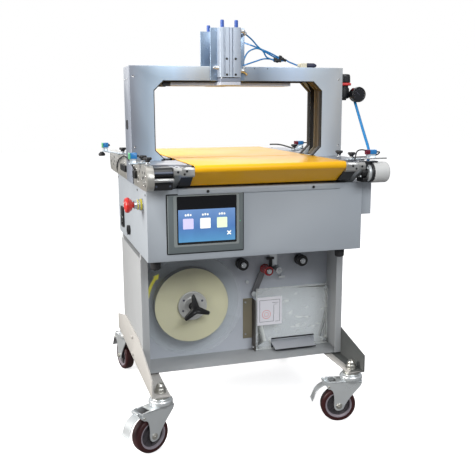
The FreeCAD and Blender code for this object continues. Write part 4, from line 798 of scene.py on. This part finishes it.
def regulator():
    slab("z", rounded(302.5, 334, -70, -44, 4), 902, 938)
    lathe((330, -57, 898), UP, [(4.2, 16), (4.2, 0), (8, 0), (9, 4), (15.5, 6), (17, 9), (17, 34), (14, 36),
        (14, 41.5), (0, 41.5)], 0.8)
    lathe((354, -57, 914), FRONT, [(0, -8.5), (8.5, -8.5), (9.5, 0), (9.5, 6), (7.5, 8), (7.5, 27), (0, 27)], 0.8, 36)
    lathe((330, -57, 914), RIGHT, rod(8, 26), 0.4, 28)
    piece("regulator_block", "black", "regulator_black", bevel=0.5, replaces="regulator_body")
    gauge = (354, -83, 914)
    lathe(gauge, FRONT, [(0, 0), (16, 0), (21, 3), (22, 8), (22, 26.5), (20.5, 29.5), (18.8, 29.5), (18.2, 27.5),
        (0, 27.5)], 0.9, 56)
    piece("gauge_case", "gauge_black", "regulator_black")
    lathe(gauge, FRONT, [(0, 27.7), (17.8, 27.7)])
    piece("gauge_dial", "window", "regulator_black")
    for k in range(9):
        turned(box((353.5, 354.5), (-111.2, -110.9), (927, 930.6)), 30 * k - 120, gauge, "Y")
    turned(box((353.4, 354.6), (-111.5, -111.1), (911, 927)), -50, gauge, "Y")
    piece("gauge_marks", "ink", "bar_grey")
    lathe((330, -57, 940), UP, [(12, 0), (20, 0), (22, 1.4), (22, 6.4), (20, 7.9), (12, 7.9)], 0.6)
    piece("regulator_ring", "ring_red", "stop_red")
    lathe((330, -57, 948.1), UP, [(0, -8), (5, -8), (5, 0), (17.5, 0), (19, 2), (18.4, 18), (17.6, 23), (14.5, 24.8),
        (0, 25)], 1, 96, ridges(24, 0.022, 1, 22))
    piece("regulator_cap", "black", "regulator_black", body="regulator_knob", replaces="regulator_knob")


# --- belt deck

REAR_EXTRA = 72  # the deck reaches this much further back than to the front
PLATE_X, SHEET_Z = -305, 736  # outer face of the left plate, top of the deck's sheets


def far_y(side, distance):
    """Y of a place given by its distance at the front end."""
    return side * distance + (REAR_EXTRA if side > 0 else 0)


def deck():
    keep("belt_front", "belt", 0.5)
    keep("belt_rear", "belt", 0.5)
    keep("nose_roller_front", "steel", 0.4)
    keep("nose_roller_rear", "steel", 0.4)
    shown = keep("conveyor_frame", "alu", 0.7)
    dye(shown, "cast", lambda c: c.x < -286.9)
    dye(shown, "black",
        lambda c: -186.9 < c.x < 218 or 727 < c.z < 735.9 and -219.2 < c.x < 254.2 and -282.5 < c.y < 354.5)
    dye(shown, "deck",
        lambda c: c.z > 735.95 and -259.5 < c.y < 331.5 and (-287.1 < c.x < -189.5 or 222 < c.x < 300.1))
    # painted shade: dark blocks under the nose bars on both sides stand for the shaded hollow beside the slanted belt
    for side in SIDES:
        outline = [(far_y(side, 299), 712.6), (far_y(side, 267.5), 686), (side * 110, 686), (side * 110, 727.6),
            (far_y(side, 282), 727.6), (far_y(side, 282), 712.6)]
        slab("x", outline, -218.8, -188)
        slab("x", outline, 219, 253.8)
    piece("belt_side_shade_blocks", "motor", "drive_mixed", bevel=0.8)
    for side in SIDES:
        for x, z in ((-229, 726), (264.5, 726), (-207, 727.5), (238, 727.5), (-213, 720.5), (248, 720.5)):
            screw((x, far_y(side, 316), z), (0, side, 0), 3, 0.9)
        for x, y in ((-229, 300), (-229, 268), (264.5, 300), (-210, 303), (240, 303)):
            screw((x, far_y(side, y), SHEET_Z), UP, 3, 0.9)
    piece("nose_screws", "black", "inlet_black")
    for y, z, r in ((-161, 723, 3.2), (-227, 736, 2.4), (-183, 707, 3.6), (-120, 694, 2.6), (-237, 704, 3.6),
            (-273, 700, 4.4), (-264, 690, 3), (-180, 692, 2.8), (-120, 728, 2.8), (-296, 716, 3.4), (-300, 703, 2.8),
            (60, 722, 3.2), (130, 706, 3.4), (200, 724, 3), (262, 700, 3.6), (318, 716, 4.2), (346, 709.5, 4.6),
            (369, 729, 3.4)):
        screw((PLATE_X, y, z), LEFT, r, 1)
    piece("outer_plate_screws", "steel", "zinc_plate")
    # painted shade: thin dark discs on the outer plate stand for the shaded inside of its holes
    for y, z in ((-205, 722), (-250, 722), (-283, 723), (-140, 710), (-250, 708), (90, 710), (235, 712), (275, 724),
            (328, 727.5), (302, 700), (-219, 733), (-202, 720), (-188, 700), (-292, 693), (-267, 711), (355, 706),
            (277, 711), (165, 726)):
        lathe((PLATE_X, y, z), LEFT, [(0, 0.4), (3.4, 0.4), (4, 0)], 0, 20)
    piece("outer_plate_holes", "bezel_dark", "drive_mixed")
    slab("x", rounded(-172, -136, 699, 719, 3), -312.5, PLATE_X)
    slab("x", rounded(5, 95, 700, 718, 3), -312.5, PLATE_X)
    piece("latch_boxes", "motor", "drive_mixed", bevel=1.2)


def drives():
    motor = [(245.5, 736.4), (300, 736.4), (305, 730), (305, 716), (302, 713), (245.5, 713)]
    for side in SIDES:
        for shape in (motor, rounded(245.5, 299, 681, 701, 3)):
            slab("x", [(far_y(side, a), b) for a, b in shape], -286.4, -239.6)
    piece("drive_units", "motor", "drive_mixed", bevel=1.6, replaces="belt_drives")
    for side in SIDES:
        lathe((-286.8, far_y(side, 308), 724), RIGHT, rod(3, 47), 0.3, 20)
        for x in (-280, -246):
            screw((x, far_y(side, 299.2), 691), (0, side, 0), 2.6, 1)
        box((-274, -262), (far_y(side, 262) - 6, far_y(side, 262) + 6), (736.2, 737.2))
    piece("drive_details", "groove", "roller_steel", bevel=0.3)
    drum = (275, -285, 706.5)
    lathe(drum, RIGHT, [(0, 0), (15, 0), (15, 12), (13, 13), (13, 15.4), (0, 15.4)], 0.8)
    slab("x", rounded(-300, -262, 682, 694, 2), 276, 290)
    piece("drum_bearing", "motor", "drive_mixed", bevel=0.8)
    lathe(drum, RIGHT, [(0, 15), (20, 15), (24, 16.5), (24, 24), (0, 24)], 0.8, 56)
    screw((289, -300, 720), FRONT, 3.2, 1.4)
    screw((268, -300.4, 699), FRONT, 2.8, 1.2)
    piece("drum_chrome", "zinc", "zinc_plate")
    lathe(drum, RIGHT, [(0, 24), (25.5, 24), (27, 25.2), (27, 31), (25.5, 32), (0, 32)], 0.6, 56)
    piece("drum_ring", "black", "regulator_black")
    lathe(drum, RIGHT, [(0, 32), (26.4, 32), (28, 33.4), (28, 72.4), (26.2, 76), (21, 77), (0, 77)], 1.2, 64)
    piece("drum_shell", "white", "bar_grey")
    slab("z", rounded(275.5, 322, -297, -273, 3), 734.2, 737)
    slab("z", rounded(284, 300, -296, -276, 2), 716, 734.4)
    piece("drum_clamp", "black", "inlet_black", bevel=0.5)


def knobs():
    spots = [(-296, y, 741) for y in (-208, -277, 144)] + [(264, y, 739) for y in (-253, -176, 161)]
    for x, y, z in spots:
        lathe((x, y, z + 8), UP, [(0, 0), (4.8, 0), (5.4, 1.2), (6.2, 4.2), (9.8, 6.4), (10.2, 8), (10, 11),
            (8.8, 12.2), (0, 12.6)], 0.7, 72, ridges(10, 0.05, 5.6, 12))
    piece("knob_heads", "black", "knob_black", replaces="thumb_knobs")
    for x, y, z in spots:
        made = lathe((x, y, z), UP, [(0, 0), (6.6, 0), (6.6, 1.4), (4.6, 1.8), (3, 3), (3, 8.2), (0, 8.2)], 0.3, 28)
        for vert in made:
            if vert.co.z < z + 3.2:
                vert.co.z += 3.1
    piece("knob_stems", "silver", "zinc_plate")


BLOCK_LEFT, BLOCK_RIGHT = (20, 15, 4, "lens_green"), (30, 12, 11, "lens_red")
SENSORS = {"fl": (-324, -225, 741) + BLOCK_LEFT, "rl": (-332, 282, 741) + BLOCK_LEFT,
    "fr": (324, -249, 739) + BLOCK_RIGHT, "rr": (319, 256, 739) + BLOCK_RIGHT}


def sensors():
    for name, (x, y, seat, wide, tall, lens_wide, lens) in SENSORS.items():
        body = "sensor_" + name
        base, end = seat + 13.05, x + wide / 2
        left = x - wide / 2 - 0.6
        dye(keep(body, "bracket", 0.8), "sensor", lambda c: c.z > base - 0.1)
        slab("x", rounded(y - 6.5, y + 6.5, base - 0.3, base + tall + 0.5, 1.5), left, left + lens_wide)
        piece("sensor_lens_" + name, lens, "sensor_blue", body=body, bevel=0.5)
        slab("z", rounded(x - 1, end - 2, y - 4.5, y + 4.5, 1), base + tall - 0.2, base + tall + 0.5)
        lathe((end, y, base + tall / 2), RIGHT, [(0, 0), (3.4, 0), (3.4, 3), (2.2, 5), (0, 5)], 0.4, 20)
        top = piece("sensor_top_" + name, "sensor_light", "sensor_blue", body=body, bevel=0.2)
        dye(top, "black", lambda c: c.x > end - 0.1)
    lathe((-343, 284, 741), DOWN, [(0, 0), (4.8, 0), (5.6, 1.4), (9.8, 5.8), (10.2, 7.6), (9.8, 11.6), (8.4, 12.8),
        (0, 13.2)], 0.8, 60, ridges(10, 0.05, 5, 12.2))
    piece("sensor_clip_rl", "black", "knob_black", body="sensor_rl")
    lathe((329, 256, 742.1), UP, [(0, 0), (6, 0), (6.4, 1.4), (5.6, 6.6), (3, 7.6), (0, 7.8)], 0.6, 36)
    piece("sensor_nut_rr", "black", "knob_black", body="sensor_rr")
    tube([(343, -249, 758), (352, -246, 757), (354, -232, 750), (338, -222, 743.5), (312, -214, 742.5),
        (292, -206, 741.2)], 1.8, 10)
    tube([(308, -250, 763), (292, -254, 765), (274, -266, 762), (266, -273, 750), (262, -276, 739.5)], 1.8, 10)
    piece("sensor_cable_fr", "rubber", "rubber_black", body="sensor_fr")
    tube([(339, 256, 758), (350, 252, 757), (348, 236, 748), (330, 210, 742.5), (300, 190, 741.2)], 1.8, 10)
    piece("sensor_cable_rr", "rubber", "rubber_black", body="sensor_rr")
    tube([(266, 177, 745), (270, 215, 746), (274, 285, 748.5), (276, 340, 749), (264, 362, 748.5), (254, 367, 748)],
        2.4)
    tube([(-307.5, -150, 720), (-308.5, -60, 738), (-308.5, 10, 744), (-308.5, 60, 741), (-308.5, 131, 728),
        (-308.5, 180, 712), (-307, 206, 698), (-304, 214, 684)], 2, 10)
    piece("deck_cables", "rubber", "rubber_black")
    lathe((268, -300, 744.5), RIGHT, rod(2, 76), 0.3, 16)
    piece("deck_rod", "steel", "zinc_plate")


# --- film path

def star_knob():
    """Three-armed hand knob: blended arms, rounded edges and a slightly hollow face."""
    outline = []
    for k in range(180):
        reach = 0
        for turn in (100, 220, 340):
            off = abs((2 * k - turn + 180) % 360 - 180)
            if off < 89:
                reach += min(42, 12 / (sin(radians(off)) + 0.176)) ** 6
        outline.append((radians(2 * k), max(12, reach ** (1 / 6))))
    rings = []
    for y, inset, limit in ((-130.8, 3, 99), (-131.4, 1.2, 99), (-133, 0.2, 99), (-138.5, 0, 99), (-140.6, 1, 99),
            (-141.4, 2.6, 99), (-142.9, 6, 15), (-142.7, 8, 8), (-141.8, 9, 6.5)):
        points = []
        for a, r in outline:
            slope = 0.06 * max(0, r - 14) if y < -137 else 0
            r = min(r - inset, limit)
            points.append((REEL_X + r * cos(a), y + slope, REEL_Z + r * sin(a)))
        rings.append([vertex(p) for p in points])
    skin(rings)


def reel():
    film_r, disc_r, bore = 108.5, 148, 38.2
    lathe((REEL_X, -60, REEL_Z), FRONT, [(bore, 0.1), (film_r - 0.8, 0.1), (film_r, 0.9), (film_r, 29.1),
        (film_r - 0.8, 29.9), (bore, 29.9)], 0.4, 96)
    film = piece("reel_film", "film", "film_olive", body="reel", replaces="film_roll")
    dye(film, "film_side", lambda c: hypot(c.x - REEL_X, c.z - REEL_Z) > film_r - 0.5)
    for y in (-92, -60):
        lathe((REEL_X, y, REEL_Z), REAR, [(bore, 0.05), (disc_r - 0.6, 0.05), (disc_r, 0.5), (disc_r, 1.5),
            (disc_r - 0.6, 1.95), (bore, 1.95)], 0.2, 128)
    piece("reel_clear_discs", "clear", "disc_clear", body="reel", replaces="reel_discs")
    lathe((REEL_X, -48, REEL_Z), FRONT, [(0, -17.9), (7.9, -17.9), (7.9, -1), (30, -0.5), (37.9, 0.5), (37.9, 44),
        (42, 44.2), (42, 48.8), (40.8, 50), (36.6, 50), (35.8, 49), (26, 49), (25, 50.2), (19, 50.2), (18, 48.6),
        (0, 48.6)], 0.6, 72)
    piece("reel_flange", "hub", "hub_steel", body="reel", replaces="reel_hub")
    for k in range(6):
        a = radians(60 * k + 25)
        lathe((REEL_X + 31 * cos(a), -97.2, REEL_Z + 31 * sin(a)), FRONT, [(0, 0.2), (1.6, 0.2), (2.4, 1), (3, 0.6),
            (3.2, 0)], 0.1, 20)
    piece("reel_flange_screws", "ink", "zinc_plate", body="reel")
    star_knob()
    lathe((REEL_X, -98, REEL_Z), FRONT, [(0, 0), (12, 0), (12, 2), (9, 5), (9, 22), (12, 33.2), (0, 33.2)], 1.6, 40)
    piece("reel_hand_knob", "knob", "knob_black", body="reel", replaces="reel_knob", sharp=60)


def rollers():
    for name, x in (("left", 15), ("right", 202)):
        lathe((x, -42, 424), FRONT, [(5.1, 0.2), (15, 0.2), (17, 1.4), (17, 10), (16, 11), (16, 19), (17, 20),
            (17, 28.6), (15.4, 29.8), (10.5, 29.8), (9.5, 28.8), (5.1, 28.8)], 0.5, 56)
        roller = "guide_roller_" + name
        piece("guide_wheel_" + name, "black", "guide_black", body=roller, replaces=roller)
    keep("dancer_arm", "arm", 0.6)
    lathe((87, -50, 405), FRONT, [(4.1, 0.1), (12, 0.1), (14, 1.2), (14, 4.5), (12.4, 5.5), (12.4, 38.5), (14, 39.5),
        (14, 42.8), (12.4, 43.9), (8.8, 43.9), (8, 43), (4.1, 43)], 0.5, 56)
    piece("dancer_wheel", "dancer", "dancer_red", body="dancer_roller", replaces="dancer_roller")
    keep("wall_fittings", "zinc", 0.5)
    lathe((126, -38, 400.5), FRONT, [(0, 0), (9, 0), (10.4, 1), (10.4, 12), (8, 13), (8, 26), (10.4, 27), (10.4, 36),
        (9, 37.4), (4.6, 37.4), (4, 38.4), (0, 38.4)], 0.5)
    for x in (15, 202):
        lathe((x, -75.5, 424), FRONT, [(0, 0), (8, 0), (7.6, 2.4), (3.4, 2.4), (3, 1.6), (0, 1.6)], 0.4, 6)
    piece("wall_roller_caps", "silver", "roller_steel")
    lathe((87, -97, 405), FRONT, [(0, 0), (7.6, 0), (7, 2.4), (3.4, 2.4), (3, 1.6), (0, 1.6)], 0.3, 6)
    piece("dancer_nut", "silver", "roller_steel", body="dancer_arm")
    slab("y", rounded(107, 113.5, 398, 432, 2.5), -49, -38)
    box((96, 120), (-47, -40), (429, 436))
    piece("exit_bracket", "black", "inlet_black", bevel=1)


def film_cover():
    keep("cover_panel", "cover", 0.4)
    dye(keep("cover_guard", "guard", 0.4), "guard_edge", lambda c: c.x > 51.9)
    keep("scrap_flap", "flap", 0.3)
    for z in (200, 300):
        screw((31, -38.2, z), FRONT, 3.2, 1.8)
    screw((48, -62, 166), FRONT, 4, 3)
    piece("guard_screws", "steel", "zinc_plate")
    slab("y", rounded(61, 140, 231, 318, 1), -63.5, -63.1)
    piece("label_sheet", "paper", "bar_grey")
    for x0, x1, z0, z1 in ((68, 133, 308, 309), (68, 112, 241, 242), (68, 69, 242, 308), (132, 133, 240, 308),
            (112, 113, 241, 262), (118, 132, 240, 241), (108, 128, 299, 300), (112, 124, 294, 294.8),
            (113, 114, 262, 292)):
        slab("y", [(x0, z0), (x1, z0), (x1, z1), (x0, z1)], -63.75, -63.45)
    piece("label_lines", "ink", "bar_grey")
    for r0, r1 in ((12.4, 13.6), (6, 7)):
        lathe((90, -63.4, 264), FRONT, [(r0, 0), (r0, 0.35), (r1, 0.35), (r1, 0)])
    piece("label_rings", "ink_red", "bar_grey")

    def spot(r, degrees):
        a = radians(degrees)
        return REEL_X + r * cos(a), REEL_Z + r * sin(a)
    radius, start, end = 119.5, 172, 142
    arc = [start + (end - start) * k / 12 for k in range(13)]
    outline = [spot(radius + 4.2, a) for a in arc]
    outline += [spot(radius + 9, end), spot(radius, end - 7.5), spot(radius - 9, end)]
    slab("y", outline + [spot(radius - 4.2, a) for a in arc[::-1]], -36.5, -36.1)
    piece("direction_arrow", "arrow", "collar_yellow")
    # painted shade: a dark strip across the cover stands for the shaded slit above the scrap flap
    box((106, 246), (-64.2, -62.9), (183.5, 188))
    piece("slit_shade_strip", "bezel_dark", "rubber_black", bevel=0.3)
    box((111, 241), (-93.5, -90.5), (157, 160))
    piece("flap_lip", "bezel_dark", "rubber_black", body="scrap_flap", bevel=0.5)


# --- stage, light, camera

def area(name, at, target_z, size, power, color=(1, 1, 1)):
    light = bpy.data.lights.new(name, "AREA")
    light.shape = "RECTANGLE"
    light.size, light.size_y = size
    light.energy = power
    light.color = color
    obj = bpy.data.objects.new(name, light)
    bpy.context.scene.collection.objects.link(obj)
    obj.location = at
    aim = Vector((0, 0, target_z)) - Vector(at)
    obj.rotation_euler = aim.to_track_quat("-Z", "Y").to_euler()


def stage_floor():
    """Pale floor: white to the camera, darker in reflections."""
    mesh = bpy.data.meshes.new("floor")
    bm = bmesh.new()
    bmesh.ops.create_grid(bm, x_segments=8, y_segments=8, size=12)
    bm.to_mesh(mesh)
    bm.free()
    floor = bpy.data.objects.new("floor", mesh)
    bpy.context.scene.collection.objects.link(floor)
    tree, bsdf = material("floor_pale")
    feed(tree, bsdf, {"Base Color": vary(tree, (0.80, 0.80, 0.81), 0.01, noise(tree, 2)), "Roughness": 0.9,
        "Specular IOR Level": 0.1, "Emission Color": (1, 1, 1, 1), "Emission Strength": 0.62})
    dim = make(tree, "BsdfDiffuse", {"Color": (0.22, 0.22, 0.22, 1)})
    shown = by_camera(tree, dim.outputs["BSDF"], bsdf.outputs["BSDF"])
    feed(tree, tree.nodes["Material Output"], {"Surface": shown})
    floor.data.materials.append(MAT["floor_pale"])


def by_camera(tree, other, seen):
    """One shader for what the camera sees, another for light and reflections."""
    ray = make(tree, "LightPath").outputs["Is Camera Ray"]
    return make(tree, "MixShader", {"Fac": ray, 1: other, 2: seen}).outputs["Shader"]


def studio():
    world = bpy.data.worlds.new("studio")
    bpy.context.scene.world = world
    world.use_nodes = True
    tree = world.node_tree
    tree.nodes.clear()
    ray = make(tree, "TexCoord").outputs["Generated"]
    height = make(tree, "SeparateXYZ", {"Vector": ray}).outputs["Z"]
    color = ramp(tree, remap(tree, height, 0, 1, -1, 1), [(0.42, (0.16, 0.16, 0.17, 1)), (0.52,
        (0.62, 0.64, 0.68, 1)), (0.95, (1, 1, 1, 1))])
    soft = make(tree, "Background", {"Color": color, "Strength": 0.62}).outputs["Background"]
    white = make(tree, "Background", {"Color": (1, 1, 1, 1)}).outputs["Background"]
    make(tree, "OutputWorld", {"Surface": by_camera(tree, soft, white)})
    area("key_left", (-3, -0.4, 1.6), 0.6, (1.8, 2), 135, (1, 0.97, 0.92))
    area("fill_front", (0.3, -2.9, 2.4), 0.5, (2.2, 1.2), 56, (0.95, 0.98, 1))
    area("top", (0, 0.4, 3), 0.6, (2.4, 2.2), 18)
    area("rear_glow", (0.3, 3.2, 1.8), 0.7, (3.2, 1.6), 24)


def camera():
    """The photograph's view, as fitted to it."""
    data = bpy.data.cameras.new("view")
    cam = bpy.data.objects.new("view", data)
    bpy.context.scene.collection.objects.link(cam)
    yaw, pitch, roll = 0.3019, -0.1890, -0.0034
    forward = Vector((sin(yaw) * cos(pitch), cos(yaw) * cos(pitch), sin(pitch)))
    right = Vector((cos(yaw), -sin(yaw), 0))
    up = right.cross(forward)
    side = right * cos(roll) + up * sin(roll)
    top = up * cos(roll) - right * sin(roll)
    basis = Matrix((side, top, -forward)).transposed().to_4x4()
    basis.translation = mm(-591.32, -1960.09, 885.99)
    cam.matrix_world = basis
    data.sensor_width = 36
    data.lens = 52.59
    data.clip_end = 50
    bpy.context.scene.camera = cam


cabinet()
operator_panel()
side_controls()
stand()
for corner_name in CASTORS:
    castor(corner_name)
for build in (arch, press_head, air_line, regulator, deck, drives, knobs, sensors, reel, rollers, film_cover,
        stage_floor, studio, camera):
    build()
bpy.context.scene.view_settings.view_transform = "Standard"
